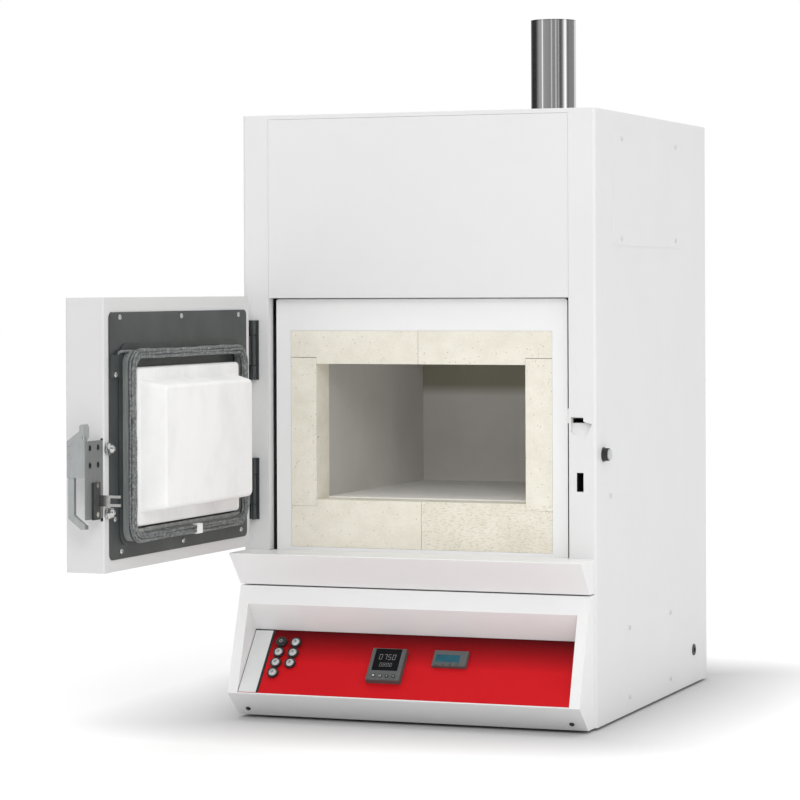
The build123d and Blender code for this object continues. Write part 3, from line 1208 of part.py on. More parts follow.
export_step(front_bricks.part, "parts/front_bricks.step")
chamber_lining.part.label = "chamber_lining"
export_step(chamber_lining.part, "parts/chamber_lining.step")
inner_case.part.label = "inner_case"
export_step(inner_case.part, "parts/inner_case.step")
thermocouple.part.label = "thermocouple"
export_step(thermocouple.part, "parts/thermocouple.step")
chimney.part.label = "chimney"
export_step(chimney.part, "parts/chimney.step")
contactor.part.label = "contactor"
export_step(contactor.part, "parts/contactor.step")
interlock_switch.part.label = "interlock_switch"
export_step(interlock_switch.part, "parts/interlock_switch.step")
side_grommet.part.label = "side_grommet"
export_step(side_grommet.part, "parts/side_grommet.step")
side_button_body.part.label = "side_button_body"
export_step(side_button_body.part, "parts/side_button_body.step")
access_cover.part.label = "access_cover"
export_step(access_cover.part, "parts/access_cover.step")
casing_screws.part.label = "casing_screws"
export_step(casing_screws.part, "parts/casing_screws.step")
feet.part.label = "feet"
export_step(feet.part, "parts/feet.step")
frame_hinges.part.label = "frame_hinges"
export_step(frame_hinges.part, "parts/frame_hinges.step")
power_button.part.label = "power_button"
export_step(power_button.part, "parts/power_button.step")

# Insulation is one piece of stock cut to five boards, and the elements are a pair.
insulation_boards = Compound(
    label="insulation",
    children=[
        *insulation.part.solids(),
        *upper_board.part.solids(),
        *side_board.part.solids(),
        *side_board.part.mirror(Plane.YZ).solids(),
        *rear_board.part.solids(),
    ],
)
export_step(insulation_boards, "parts/insulation.step")
element_pair = Compound(
    label="heating_elements",
    children=[
        *heating_elements.part.solids(),
        *heating_elements.part.mirror(Plane.YZ).solids(),
    ],
)
export_step(element_pair, "parts/heating_elements.step")
flue_duct = Compound(label="flue_duct", children=[*flue_bend.part.solids(), *flue_box.part.solids()])
export_step(flue_duct, "parts/flue_duct.step")

# Reset buttons: pale domes, all alike.
for number, place in enumerate(RESETS_AT, start=1):
    with BuildPart() as reset_button:
        panel_disc(place, (BUTTON_BACK, 3.6), BUTTON_R)
        with Locations(PANEL.location * Pos(place[0], -place[1], 3.6)):
            Cone(BUTTON_R, 3.6, BUTTON_TOP - 3.6, align=(Align.CENTER, Align.CENTER, Align.MIN))
        fillet(reset_button.edges().sort_by(OUT_OF_PANEL)[-1], 1.2)
    reset_button.part.label = f"reset_button_{number}"
    export_step(reset_button.part, f"parts/reset_button_{number}.step")

for number, x in enumerate(TEMP_KEYS_X, start=1):
    with BuildPart() as temperature_key:
        panel_disc((x, TEMP_KEYS_U), (TEMP_SIZE[2] - 3, TEMP_SIZE[2] + 0.8), TEMP_KEY_R)
        fillet(temperature_key.edges().sort_by(OUT_OF_PANEL)[-1], 0.4)
    temperature_key.part.label = f"temperature_key_{number}"
    export_step(temperature_key.part, f"parts/temperature_key_{number}.step")

for number, x in enumerate(OVER_KEYS_X, start=1):
    with BuildPart() as overtemp_key:
        panel_disc((x, OVER_KEYS_U), (OVER_SIZE[2] - 2.2, OVER_SIZE[2] + 0.6), OVER_KEY_R)
        fillet(overtemp_key.edges().sort_by(OUT_OF_PANEL)[-1], 0.3)
    overtemp_key.part.label = f"overtemp_key_{number}"
    export_step(overtemp_key.part, f"parts/overtemp_key_{number}.step")

with BuildPart() as side_button:
    rod((HALF_W + 4.8, *SIDE_BUTTON_AT), (HALF_W + 11.0, *SIDE_BUTTON_AT), SIDE_BUTTON_R)
    fillet(side_button.edges().sort_by(Axis.X)[-1], 1.0)
side_button.part.label = "side_button"
export_step(side_button.part, "parts/side_button.step")

# The door's pieces are drawn closed and stored open.
door_shell.part = swing_open(door_shell.part)
door_shell.part.label = "door_shell"
export_step(door_shell.part, "parts/door_shell.step")
door_back_plate.part = swing_open(door_back_plate.part)
door_back_plate.part.label = "door_back_plate"
export_step(door_back_plate.part, "parts/door_back_plate.step")
door_insulation.part = swing_open(door_insulation.part)
door_insulation.part.label = "door_insulation"
export_step(door_insulation.part, "parts/door_insulation.step")
seal_collar.part = swing_open(seal_collar.part)
seal_collar.part.label = "seal_collar"
export_step(seal_collar.part, "parts/seal_collar.step")
rope_seal.part = swing_open(rope_seal.part)
rope_seal.part.label = "rope_seal"
export_step(rope_seal.part, "parts/rope_seal.step")
seal_clip.part = swing_open(seal_clip.part)
seal_clip.part.label = "seal_clip"
export_step(seal_clip.part, "parts/seal_clip.step")
door_plug.part = swing_open(door_plug.part)
door_plug.part.label = "door_plug"
export_step(door_plug.part, "parts/door_plug.step")
latch_bracket.part = swing_open(latch_bracket.part)
latch_bracket.part.label = "latch_bracket"
export_step(latch_bracket.part, "parts/latch_bracket.step")
handle_arm.part = swing_open(handle_arm.part)
handle_arm.part.label = "handle_arm"
export_step(handle_arm.part, "parts/handle_arm.step")
interlock_key.part = swing_open(interlock_key.part)
interlock_key.part.label = "interlock_key"
export_step(interlock_key.part, "parts/interlock_key.step")
door_screws.part = swing_open(door_screws.part)
door_screws.part.label = "door_screws"
export_step(door_screws.part, "parts/door_screws.step")
dome_nuts.part = swing_open(dome_nuts.part)
dome_nuts.part.label = "dome_nuts"
export_step(dome_nuts.part, "parts/dome_nuts.step")
door_hinges.part = swing_open(door_hinges.part)
door_hinges.part.label = "door_hinges"
export_step(door_hinges.part, "parts/door_hinges.step")
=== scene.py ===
import json
from math import cos, pi, radians, sin

import bmesh
import bpy
import numpy as np
from mathutils import Matrix, Vector


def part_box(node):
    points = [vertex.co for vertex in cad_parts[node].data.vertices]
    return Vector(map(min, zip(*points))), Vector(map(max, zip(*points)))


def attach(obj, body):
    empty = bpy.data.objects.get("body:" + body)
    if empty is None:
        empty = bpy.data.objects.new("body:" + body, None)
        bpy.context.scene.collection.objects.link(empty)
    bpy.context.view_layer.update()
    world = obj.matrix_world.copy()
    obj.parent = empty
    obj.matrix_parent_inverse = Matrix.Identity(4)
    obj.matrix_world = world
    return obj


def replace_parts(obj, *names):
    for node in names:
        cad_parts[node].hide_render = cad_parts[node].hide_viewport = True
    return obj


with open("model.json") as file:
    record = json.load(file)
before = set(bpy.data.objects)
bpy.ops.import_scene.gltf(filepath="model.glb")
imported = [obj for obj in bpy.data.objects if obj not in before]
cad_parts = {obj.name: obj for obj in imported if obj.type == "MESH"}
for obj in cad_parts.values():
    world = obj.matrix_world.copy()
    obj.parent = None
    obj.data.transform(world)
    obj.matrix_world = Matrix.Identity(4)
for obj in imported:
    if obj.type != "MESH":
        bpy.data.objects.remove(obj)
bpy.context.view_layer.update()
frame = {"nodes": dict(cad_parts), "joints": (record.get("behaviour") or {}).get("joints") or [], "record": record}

# A chamber furnace for ashing. Sizes are in millimetres, and those of the stage and the lights in metres.
# Places are measured from the front face of the case's pillars (Y) and the case's bottom edge (Z), and at()
# turns them into the frame's metres.
MM = 0.001
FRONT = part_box("side_panel_left")[0].y
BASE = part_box("base_tray")[0].z
HINGE = frame["joints"][0]
PIN = Vector(HINGE["pos_m"])
DOOR_OPEN = radians(HINGE["range_deg"][1])
SWING = Matrix.Translation(PIN) @ Matrix.Rotation(-DOOR_OPEN, 4, "Z") @ Matrix.Translation(-PIN)
DOOR_FACE = -6.0
VALLEY = (-1.0, 113.3)
SLOPE = radians(50.2)


def at(x, y, z):
    """A point from the pillars' front face and the case's bottom edge."""
    return Vector((x * MM, FRONT + y * MM, BASE + z * MM))


# The control panel slopes down and forwards from its valley. X runs along it, Y up its slope and Z out of it.
PANEL = Matrix.Translation(at(0, *VALLEY)) @ Matrix.Rotation(SLOPE, 4, "X") @ Matrix.Scale(MM, 4)


def in_door(x, d, z):
    """A point of the open door, given where it lies when the door is shut. D is the depth outwards."""
    return SWING @ at(x, DOOR_FACE - d, z)


def corners(points, matrix):
    """The lowest and highest corners of points seen through a matrix."""
    seen = np.array([matrix @ Vector(p) for p in points])
    return Vector(seen.min(0)), Vector(seen.max(0))


def mesh_points(node):
    return [v.co for v in frame["nodes"][node].data.vertices]


def closed_box(node):
    """A door node's lowest and highest corners with the door shut."""
    return corners(mesh_points(node), SWING.inverted())


def panel_box(points):
    """The lowest and highest corners of points as the control panel has them."""
    return corners(points, PANEL.inverted())


# Node trees
LOW_STOP = 0.3
HIGH_STOP = 0.7


def colour(value):
    """A colour with its alpha, from one grey or three channels."""
    channels = (value,) * 3 if isinstance(value, (int, float)) else tuple(value)
    return (*channels, 1.0)


def shades(tone, spread):
    """A tone's darker and lighter neighbours."""
    return tuple(c * (1 - spread) for c in tone), tuple(min(1.0, c * (1 + spread)) for c in tone)


class Tree:
    """A node tree, with short calls for the nodes that the materials and the world share."""

    def __init__(self, owner):
        owner.use_nodes = True
        self.nodes = owner.node_tree.nodes
        self.links = owner.node_tree.links

    def link(self, source, target):
        self.links.new(source, target)

    def fill(self, socket, value):
        """Link another node's output to a socket, or give the socket its own number or colour."""
        if isinstance(value, bpy.types.NodeSocket):
            self.link(value, socket)
        else:
            socket.default_value = colour(value) if socket.type == "RGBA" else value

    def place(self, stretch=(1, 1, 1), turn=(0, 0, 0)):
        """Object coordinates, scaled and turned."""
        source = self.nodes.new("ShaderNodeTexCoord")
        mapping = self.nodes.new("ShaderNodeMapping")
        mapping.inputs["Scale"].default_value = stretch
        mapping.inputs["Rotation"].default_value = turn
        self.link(source.outputs["Object"], mapping.inputs["Vector"])
        return mapping.outputs["Vector"]

    def noise(self, scale, detail=4.0, rough=0.5, where=None):
        """Soft noise, its scale in features per metre."""
        texture = self.nodes.new("ShaderNodeTexNoise")
        texture.inputs["Scale"].default_value = scale
        texture.inputs["Detail"].default_value = detail
        texture.inputs["Roughness"].default_value = rough
        self.link(where or self.place(), texture.inputs["Vector"])
        return texture.outputs["Fac"]

    def cells(self, scale):
        """Distance to the nearest random point, and that point's own random colour."""
        texture = self.nodes.new("ShaderNodeTexVoronoi")
        texture.inputs["Scale"].default_value = scale
        self.link(self.place(), texture.inputs["Vector"])
        return texture.outputs["Distance"], texture.outputs["Color"]

    def ramp(self, source, *stops):
        """Stops are (position, colour or grey)."""
        node = self.nodes.new("ShaderNodeValToRGB")
        elements = node.color_ramp.elements
        while len(elements) < len(stops):
            elements.new(0.5)
        for element, (position, value) in zip(elements, stops):
            element.position = position
            element.color = colour(value)
        self.link(source, node.inputs["Fac"])
        return node.outputs["Color"]

    def mottle(self, source, dark, light):
        """A value between two tones."""
        return self.ramp(source, (LOW_STOP, dark), (HIGH_STOP, light))

    def math(self, operation, a, b=0.0, clamp=False):
        node = self.nodes.new("ShaderNodeMath")
        node.operation = operation
        node.use_clamp = clamp
        self.fill(node.inputs[0], a)
        self.fill(node.inputs[1], b)
        return node.outputs["Value"]

    def share(self, value, start, end):
        """Where a value lies between a start, which gives 0, and an end, which gives 1."""
        return self.math("DIVIDE", self.math("SUBTRACT", value, start), end - start)

    def axis(self, name, kind="Object"):
        """One coordinate, in metres."""
        source = self.nodes.new("ShaderNodeTexCoord")
        split = self.nodes.new("ShaderNodeSeparateXYZ")
        self.link(source.outputs[kind], split.inputs["Vector"])
        return split.outputs[name]

    def along(self, direction):
        """Distance of a point along a direction, in metres."""
        source = self.nodes.new("ShaderNodeTexCoord")
        dot = self.nodes.new("ShaderNodeVectorMath")
        dot.operation = "DOT_PRODUCT"
        dot.inputs[1].default_value = direction
        self.link(source.outputs["Object"], dot.inputs[0])
        return dot.outputs["Value"]

    def mix(self, factor, a, b, blend="MIX"):
        """Two colours mixed, each a grey, three channels or another node's output."""
        node = self.nodes.new("ShaderNodeMix")
        node.data_type = "RGBA"
        node.blend_type = blend
        sockets = {s.identifier: s for s in node.inputs}
        self.fill(sockets["Factor_Float"], factor)
        self.fill(sockets["A_Color"], a)
        self.fill(sockets["B_Color"], b)
        return next(s for s in node.outputs if s.identifier == "Result_Color")

    def multiply(self, a, b, factor=1.0):
        """One colour darkened by another."""
        return self.mix(factor, a, b, "MULTIPLY")


class Finish(Tree):
    """A material and its shader."""

    def __init__(self, name, roughness=0.5, metallic=0.0, **sockets):
        self.material = bpy.data.materials.new(name)
        super().__init__(self.material)
        self.shader = self.nodes["Principled BSDF"]
        self.shader.inputs["Roughness"].default_value = roughness
        self.shader.inputs["Metallic"].default_value = metallic
        for socket, value in sockets.items():
            self.fill(self.shader.inputs[socket.replace("_", " ")], value)

    def paint(self, source):
        self.link(source, self.shader.inputs["Base Color"])

    def gloss(self, source, low, high):
        """Roughness between two values."""
        node = self.nodes.new("ShaderNodeMapRange")
        node.inputs["To Min"].default_value = low
        node.inputs["To Max"].default_value = high
        self.link(source, node.inputs["Value"])
        self.link(node.outputs["Result"], self.shader.inputs["Roughness"])

    def bump(self, source, depth, strength=1.0):
        """Relief, with its depth in millimetres."""
        node = self.nodes.new("ShaderNodeBump")
        node.inputs["Strength"].default_value = strength
        node.inputs["Distance"].default_value = depth * MM
        self.link(source, node.inputs["Height"])
        for previous in self.shader.inputs["Normal"].links:
            self.link(previous.from_socket, node.inputs["Normal"])
        self.link(node.outputs["Normal"], self.shader.inputs["Normal"])


# Materials
PAINT_ROUGHNESS = 0.42
PAINT_SPREAD = 0.012
ORANGE_PEEL = 650.0
PLASTIC_SPREAD = 0.12
LABEL_EDGES = {"left": 0.5, "right": 3.4, "top": 1.2}
SILL_H = 64.0
SILL_JOINT_X = 2.0
CUT_GRAIN = radians(-34)
HEARTH_REACH = 12.5
REAR_SLAB_REACH = 21.0
# Where the rear slab's painted lintel shadow starts and where it is full, below the lining's top.
LINTEL_SHADOW_BELOW_TOP = (78.0, 18.0)
TUBE_RIM_H = 1.6

# Depths of the shut door where a finish changes, and where the web's painted shade begins.
COLLAR_FOOT_D = -3.3
WEB_SHADE_D = 4.6
KEY_FOOT_D = -1.55


def paint_finish(name, grey):
    """Powder coat: fine orange peel, a faintly uneven tone."""
    f = Finish(name, roughness=PAINT_ROUGHNESS)
    f.paint(f.mottle(f.noise(9.0, 6.0, 0.6), *shades((grey,) * 3, PAINT_SPREAD)))
    f.gloss(f.noise(60.0, 3.0), PAINT_ROUGHNESS - 0.06, PAINT_ROUGHNESS + 0.06)
    f.bump(f.noise(ORANGE_PEEL, 2.0), 0.02, 0.25)
    return f.material


def plastic_finish(name, tone, roughness, grain=900.0):
    """Moulded plastic: fine grain and a slightly uneven tone, as from wear."""
    f = Finish(name, roughness=roughness)
    f.paint(f.mottle(f.noise(120.0, 5.0, 0.6), *shades(tone, PLASTIC_SPREAD)))
    f.gloss(f.noise(240.0, 3.0), roughness - 0.08, roughness + 0.08)
    f.bump(f.noise(grain, 3.0), 0.03, 0.3)
    return f.material


def metal_finish(name, tone, roughness, scale=400.0, spread=0.1, metallic=1.0):
    """Metal with a mottled grain."""
    f = Finish(name, roughness=roughness, metallic=metallic)
    grain = f.noise(scale, 5.0, 0.6)
    f.paint(f.mottle(grain, *shades(tone, spread)))
    f.gloss(f.noise(35.0, 4.0), roughness - 0.05, roughness + 0.08)
    f.bump(grain, 0.01, 0.3)
    return f.material


def facia_finish():
    """Red gloss paint, with painted shade darkening it towards the top of the slope, under the housing's overhang.
    """
    f = Finish("red_paint", roughness=0.5, Specular_IOR_Level=0.08)
    red = f.mottle(f.noise(12.0, 5.0, 0.6), (0.57, 0.008, 0.013), (0.60, 0.010, 0.015))
    low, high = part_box("facia")
    down = f.share(f.axis("Z"), high.z, low.z)
    # Painted shade: this ramp darkens the red over the top of the slope, where the housing's overhang shades it.
    f.paint(f.multiply(red, f.ramp(down, (0.0, (0.13, 0.13, 0.2)), (0.22, (0.46, 0.46, 0.5)), (0.5, 1.0))))
    f.gloss(f.noise(60.0, 3.0), 0.45, 0.56)
    f.bump(f.noise(ORANGE_PEEL, 2.0), 0.015, 0.2)
    return f.material


def label_finish():
    """Pale strip with a black edge at its right and a thin dark line at its top and left."""
    f = Finish("pale_label", roughness=0.42)
    low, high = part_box("label_strip")
    pale = f.mottle(f.noise(30.0, 4.0), (0.66, 0.67, 0.67), (0.72, 0.73, 0.73))
    right = f.math("GREATER_THAN", f.axis("X"), high.x - LABEL_EDGES["right"] * MM)
    left = f.math("LESS_THAN", f.axis("X"), low.x + LABEL_EDGES["left"] * MM)
    top = f.math("GREATER_THAN", f.axis("Z"), high.z - LABEL_EDGES["top"] * MM)
    edge = f.math("MAXIMUM", f.math("MAXIMUM", left, top), right)
    f.paint(f.mix(edge, pale, (0.008, 0.008, 0.009)))
    f.bump(f.noise(800.0, 2.0), 0.01, 0.2)
    return f.material


def window_finish():
    """Gloss black display, teal right of the middle, where the over-temperature unit's window is."""
    f = Finish("display_glass", roughness=0.12, Specular_IOR_Level=0.06)
    teal = f.mottle(f.noise(90.0, 3.0), (0.018, 0.085, 0.12), (0.03, 0.115, 0.155))
    black = f.mottle(f.noise(140.0, 3.0), (0.004, 0.004, 0.005), (0.008, 0.008, 0.009))
    f.paint(f.mix(f.math("GREATER_THAN", f.axis("X"), 0.0), black, teal))
    f.gloss(f.noise(220.0, 2.0), 0.08, 0.16)
    return f.material


def brick_pits(f, tone, scale, size, spared, dark):
    """A tone with small dark pits at random points, some of the points spared."""
    distance, chance = f.cells(scale)
    pit = f.math("MULTIPLY", f.math("LESS_THAN", distance, size), f.math("GREATER_THAN", chance, spared))
    return f.mix(pit, tone, dark)


def brick_finish():
    """Cream firebrick: tan mottling, small dark pits, and a slanted cut grain on the right sill brick."""
    f = Finish("brick", roughness=0.92)
    body = f.ramp(
        f.noise(26.0, 6.0, 0.65),
        (0.25, (0.76, 0.73, 0.63)),
        (0.55, (0.85, 0.82, 0.73)),
        (0.8, (0.92, 0.90, 0.82)),
    )
    fine = f.ramp(f.noise(420.0, 4.0, 0.7), (0.35, (0.84, 0.80, 0.70)), (0.65, 1.0))
    tone = f.multiply(body, fine, 0.4)
    tone = brick_pits(f, tone, scale=150.0, size=0.10, spared=0.62, dark=(0.46, 0.39, 0.26))
    tone = brick_pits(f, tone, scale=62.0, size=0.075, spared=0.72, dark=(0.10, 0.075, 0.05))
    lower = f.math("LESS_THAN", f.axis("Z"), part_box("front_bricks")[0].z + SILL_H * MM)
    right = f.math("GREATER_THAN", f.axis("X"), SILL_JOINT_X * MM)
    grain = f.noise(150.0, 4.0, 0.6, f.place((1.0, 1.0, 4.5), (0.0, CUT_GRAIN, 0.0)))
    cut = f.math("MULTIPLY", f.math("MULTIPLY", lower, right), f.math("GREATER_THAN", grain, 0.56))
    f.paint(f.mix(f.math("MULTIPLY", cut, 0.4), tone, (0.48, 0.40, 0.24)))
    f.bump(f.noise(260.0, 5.0, 0.7), 0.25, 0.5)
    return f.material


def lining_finish():
    """Smooth grey refractory slabs: greyer by the mouth, a pale hearth, and a painted shadow of the lintel as a
    dark band high on the rear slab.
    """
    f = Finish("lining", roughness=0.85)
    slab = f.ramp(
        f.noise(11.0, 5.0, 0.6),
        (0.25, (0.80, 0.78, 0.75)),
        (0.6, (0.86, 0.84, 0.81)),
        (0.85, (0.91, 0.89, 0.86)),
    )
    hearth = f.mottle(f.noise(23.0, 5.0, 0.6), (0.90, 0.89, 0.86), (0.95, 0.94, 0.91))
    low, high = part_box("chamber_lining")
    rear = f.math("GREATER_THAN", f.axis("Y"), high.y - REAR_SLAB_REACH * MM)
    # Painted shadow: the rear slab darkens towards its top, as if shaded by the lintel.
    up = f.share(f.axis("Z"), *(high.z - below * MM for below in LINTEL_SHADOW_BELOW_TOP))
    lintel_shadow = f.ramp(up, (0.0, 1.0), (0.28, (0.46, 0.45, 0.37)))
    back = f.share(f.axis("Y"), low.y, high.y)
    slab = f.multiply(slab, f.ramp(back, (0.0, (0.62, 0.62, 0.61)), (0.25, (0.80, 0.80, 0.79)), (0.6, 1.0)))
    slab = f.mix(rear, slab, f.multiply(slab, lintel_shadow))
    floor = f.math("LESS_THAN", f.axis("Z"), low.z + HEARTH_REACH * MM)
    f.paint(f.mix(floor, slab, hearth))
    f.bump(f.noise(300.0, 5.0, 0.7), 0.12, 0.4)
    return f.material


def board_finish(name, tone):
    """Soft white fibre board: fine felted fibres and faint smudges."""
    f = Finish(name, roughness=0.95, Sheen_Weight=0.15)
    smudge = f.ramp(
        f.noise(14.0, 6.0, 0.65, f.place((1.0, 1.0, 0.5))),
        (0.3, tuple(c * 0.9 for c in tone)),
        (0.55, tone),
        (0.8, tuple(min(1.0, c * 1.03) for c in tone)),
    )
    distance, chance = f.cells(70.0)
    fleck = f.math("MULTIPLY", f.math("LESS_THAN", distance, 0.06), f.math("GREATER_THAN", chance, 0.8))
    f.paint(f.mix(f.math("MULTIPLY", fleck, 0.6), smudge, (0.45, 0.43, 0.38)))
    f.bump(f.noise(380.0, 6.0, 0.75), 0.22, 0.5)
    f.bump(f.noise(38.0, 4.0, 0.6), 0.9, 0.35)
    return f.material


def steel_plate_finish():
    """The door's dark back plate and hinges: satin dark grey steel."""
    f = Finish("dark_steel", roughness=0.42, metallic=0.35)
    tone = f.ramp(
        f.noise(16.0, 6.0, 0.6, f.place((1.0, 1.0, 0.6))),
        (0.3, (0.050, 0.057, 0.058)),
        (0.55, (0.062, 0.070, 0.071)),
        (0.8, (0.082, 0.092, 0.093)),
    )
    f.paint(tone)
    f.gloss(f.noise(24.0, 5.0), 0.34, 0.5)
    f.bump(f.noise(500.0, 3.0), 0.015, 0.25)
    return f.material


def tube_finish():
    """Bright drawn tube: fine lines along it, darker at its top rim."""
    f = Finish("stainless", roughness=0.2, metallic=1.0)
    low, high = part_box("chimney")
    across = f.math("SUBTRACT", f.axis("X"), (low.x + high.x) / 2)
    deep = f.math("SUBTRACT", f.axis("Y"), (low.y + high.y) / 2)
    around = f.nodes.new("ShaderNodeCombineXYZ")
    f.link(f.math("ARCTAN2", across, deep), around.inputs["X"])
    f.link(f.math("MULTIPLY", f.axis("Z"), 0.35), around.inputs["Y"])
    broad = f.noise(3.1, 2.0, 0.5, around.outputs["Vector"])
    thin = f.noise(26.0, 3.0, 0.6, around.outputs["Vector"])
    rim = f.math("GREATER_THAN", f.axis("Z"), high.z - TUBE_RIM_H * MM)
    f.paint(f.mix(f.math("MULTIPLY", rim, 0.45), f.mottle(broad, 0.52, 0.60), 0.2))
    f.gloss(thin, 0.05, 0.12)
    f.bump(thin, 0.03, 0.3)
    return f.material


def rope_finish():
    """Braided seal rope: grey yarns with a metal glint, and random painted shade and highlights for its grooves
    and strands.
    """
    f = Finish("rope", roughness=0.6, metallic=0.2)
    yarn = f.noise(1500.0, 3.0, 0.7)
    fine = f.mottle(yarn, (0.45, 0.46, 0.46), 1.0)
    # Painted shade and highlight: random darker and lighter patches stand in for the shade in the grooves and the
    # highlights on the strands.
    strand_shade_and_glint = f.ramp(
        f.noise(240.0, 5.0, 0.7),
        (0.36, (0.12, 0.128, 0.13)),
        (0.5, (0.25, 0.265, 0.265)),
        (0.64, (0.44, 0.455, 0.455)),
    )
    f.paint(f.multiply(strand_shade_and_glint, fine))
    f.bump(yarn, 0.3, 0.6)
    return f.material


def depth_below(f, depth):
    """One where a door piece lies nearer the cabinet than a closed depth, else nothing."""
    outwards = SWING.to_3x3() @ Vector((0, -1, 0))
    return f.math("LESS_THAN", f.along(outwards), outwards.dot(in_door(0, depth, 0)))


def collar_finish():
    """Brushed grey-green collar on a dark foot."""
    f = Finish("grey_steel", roughness=0.42, metallic=0.5)
    grain = f.noise(300.0, 5.0, 0.6, f.place((1.0, 1.0, 0.08)))
    wall_tone = f.mottle(grain, (0.27, 0.295, 0.28), (0.40, 0.425, 0.41))
    foot_tone = f.mottle(f.noise(16.0, 6.0, 0.6), (0.050, 0.057, 0.058), (0.072, 0.081, 0.082))
    f.paint(f.mix(depth_below(f, COLLAR_FOOT_D), foot_tone, wall_tone))
    f.gloss(f.noise(35.0, 4.0), 0.36, 0.5)
    f.bump(grain, 0.01, 0.3)
    return f.material


def latch_finish():
    """Zinc-plated steel, with painted shade darkening the web beside the door."""
    f = Finish("plated_steel", roughness=0.42, metallic=0.2)
    grain = f.noise(260.0, 5.0, 0.6, f.place((1.0, 1.0, 0.15)))
    tone = f.mottle(grain, (0.33, 0.345, 0.345), (0.39, 0.405, 0.405))
    # Painted shade: the web beside the door is darkened to about half its tone.
    f.paint(f.mix(depth_below(f, WEB_SHADE_D), tone, f.multiply(tone, 0.53)))
    f.gloss(f.noise(35.0, 4.0), 0.37, 0.5)
    f.bump(grain, 0.01, 0.3)
    return f.material


def key_finish():
    """The interlock key: bright tongue, dark plastic foot against the bracket."""
    f = Finish("interlock_key", roughness=0.3)
    tongue = depth_below(f, KEY_FOOT_D)
    foot = f.math("SUBTRACT", 1.0, tongue)
    bright = f.mottle(f.noise(160.0, 4.0, 0.6), (0.42, 0.42, 0.42), (0.56, 0.56, 0.55))
    dark = f.mottle(f.noise(120.0, 4.0, 0.6), (0.028, 0.029, 0.030), (0.042, 0.043, 0.045))
    f.paint(f.mix(foot, bright, dark))
    f.link(tongue, f.shader.inputs["Metallic"])
    f.gloss(foot, 0.16, 0.45)
    f.bump(f.noise(600.0, 3.0), 0.015, 0.25)
    return f.material


MATERIALS = {
    "white_paint": paint_finish("white_paint", 0.75),
    "red_paint": facia_finish(),
    "pale_label": label_finish(),
    "dark_plastic": plastic_finish("dark_plastic", (0.018, 0.019, 0.020), 0.42),
    "grey_bezel": plastic_finish("grey_bezel", (0.085, 0.090, 0.090), 0.45),
    "display_glass": window_finish(),
    "brick": brick_finish(),
    "lining": lining_finish(),
    "fibre_board": board_finish("fibre_board", (0.78, 0.75, 0.68)),
    "plug_board": board_finish("plug_board", (0.88, 0.88, 0.875)),
    "bare_steel": metal_finish("bare_steel", (0.45, 0.45, 0.45), 0.4, scale=60.0, spread=0.25),
    "stainless": tube_finish(),
    "element_alloy": metal_finish("element_alloy", (0.10, 0.09, 0.085), 0.6),
    "plated_screw": metal_finish("plated_screw", (0.62, 0.62, 0.60), 0.25),
    "dark_steel": steel_plate_finish(),
    "grey_steel": collar_finish(),
    "plated_steel": latch_finish(),
    "chrome_nut": metal_finish("chrome_nut", (0.55, 0.55, 0.55), 0.1, scale=90.0, spread=0.05),
    "rope": rope_finish(),
    "pale_button": metal_finish("pale_button", (0.62, 0.63, 0.63), 0.35, scale=90.0, metallic=0.5),
    "foot_rubber": plastic_finish("foot_rubber", (0.02, 0.02, 0.02), 0.8, grain=300.0),
}
# Painted light: a lighter copy of the white paint for the shelf and control housing, standing in for light they
# catch.
SHELF_LIT_PAINT = paint_finish("shelf_lit_paint", 0.84)
KEY_GREY = plastic_finish("key_grey", (0.03, 0.031, 0.031), 0.4)
BUTTONS = ("power_button", *(f"reset_button_{number}" for number in range(1, 7)))
KEYS = [f"{unit}_key_{number}" for unit in ("temperature", "overtemp") for number in range(1, 5)]


def dress(node, material):
    """One material over a whole node."""
    materials = frame["nodes"][node].data.materials
    materials.clear()
    materials.append(material)


for entry in frame["record"]["subparts"]:
    dress(entry["node"], MATERIALS[entry["material_slot"]])
dress("seal_clip", MATERIALS["plug_board"])
dress("interlock_key", key_finish())
# Painted shade: a darker copy of the white paint on the door's shell, standing in for the shade on the open door.
dress("door_shell", paint_finish("door_shaded_paint", 0.66))
# Painted light: a lighter copy of the white paint on the front frame, standing in for the lamp's light on it.
dress("front_frame", paint_finish("frame_lit_paint", 0.86))
dress("shelf", SHELF_LIT_PAINT)
dress("control_housing", SHELF_LIT_PAINT)
for name in KEYS:
    dress(name, KEY_GREY)

# Pieces


def piece(name, mesh_maker, body, material, smooth=30):
    """An object made by a function that fills a bmesh, riding on a body."""
    made = bmesh.new()
    mesh_maker(made)
    bmesh.ops.recalc_face_normals(made, faces=made.faces)
    mesh = bpy.data.meshes.new(name)
    made.to_mesh(mesh)
    made.free()
    obj = bpy.data.objects.new(name, mesh)
    bpy.context.scene.collection.objects.link(obj)
    mesh.materials.append(material)
    mesh.shade_smooth()
    if smooth:
        mesh.set_sharp_from_angle(angle=radians(smooth))
    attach(obj, body)
    return obj


def islands(node):
    """Each separate solid of a node, as its points."""
    mesh = frame["nodes"][node].data
    parent = list(range(len(mesh.vertices)))

    def root(i):
        while parent[i] != i:
            parent[i] = parent[parent[i]]
            i = parent[i]
        return i

    places = {}
    for v in mesh.vertices:
        key = tuple(round(c, 6) for c in v.co)
        parent[v.index] = places.setdefault(key, v.index)
    for edge in mesh.edges:
        a, b = (root(i) for i in edge.vertices)
        parent[a] = b
    groups = {}
    for v in mesh.vertices:
        groups.setdefault(root(v.index), []).append(v.co)
    return [np.array(points) for points in groups.values()]


def circle(radius, count):
    return [(radius * cos(2 * pi * i / count), radius * sin(2 * pi * i / count)) for i in range(count)]


def bar(length, width):
    """The outline of an upright bar."""
    a, b = length / 2, width / 2
    return [(-b, -a), (b, -a), (b, a), (-b, a)]


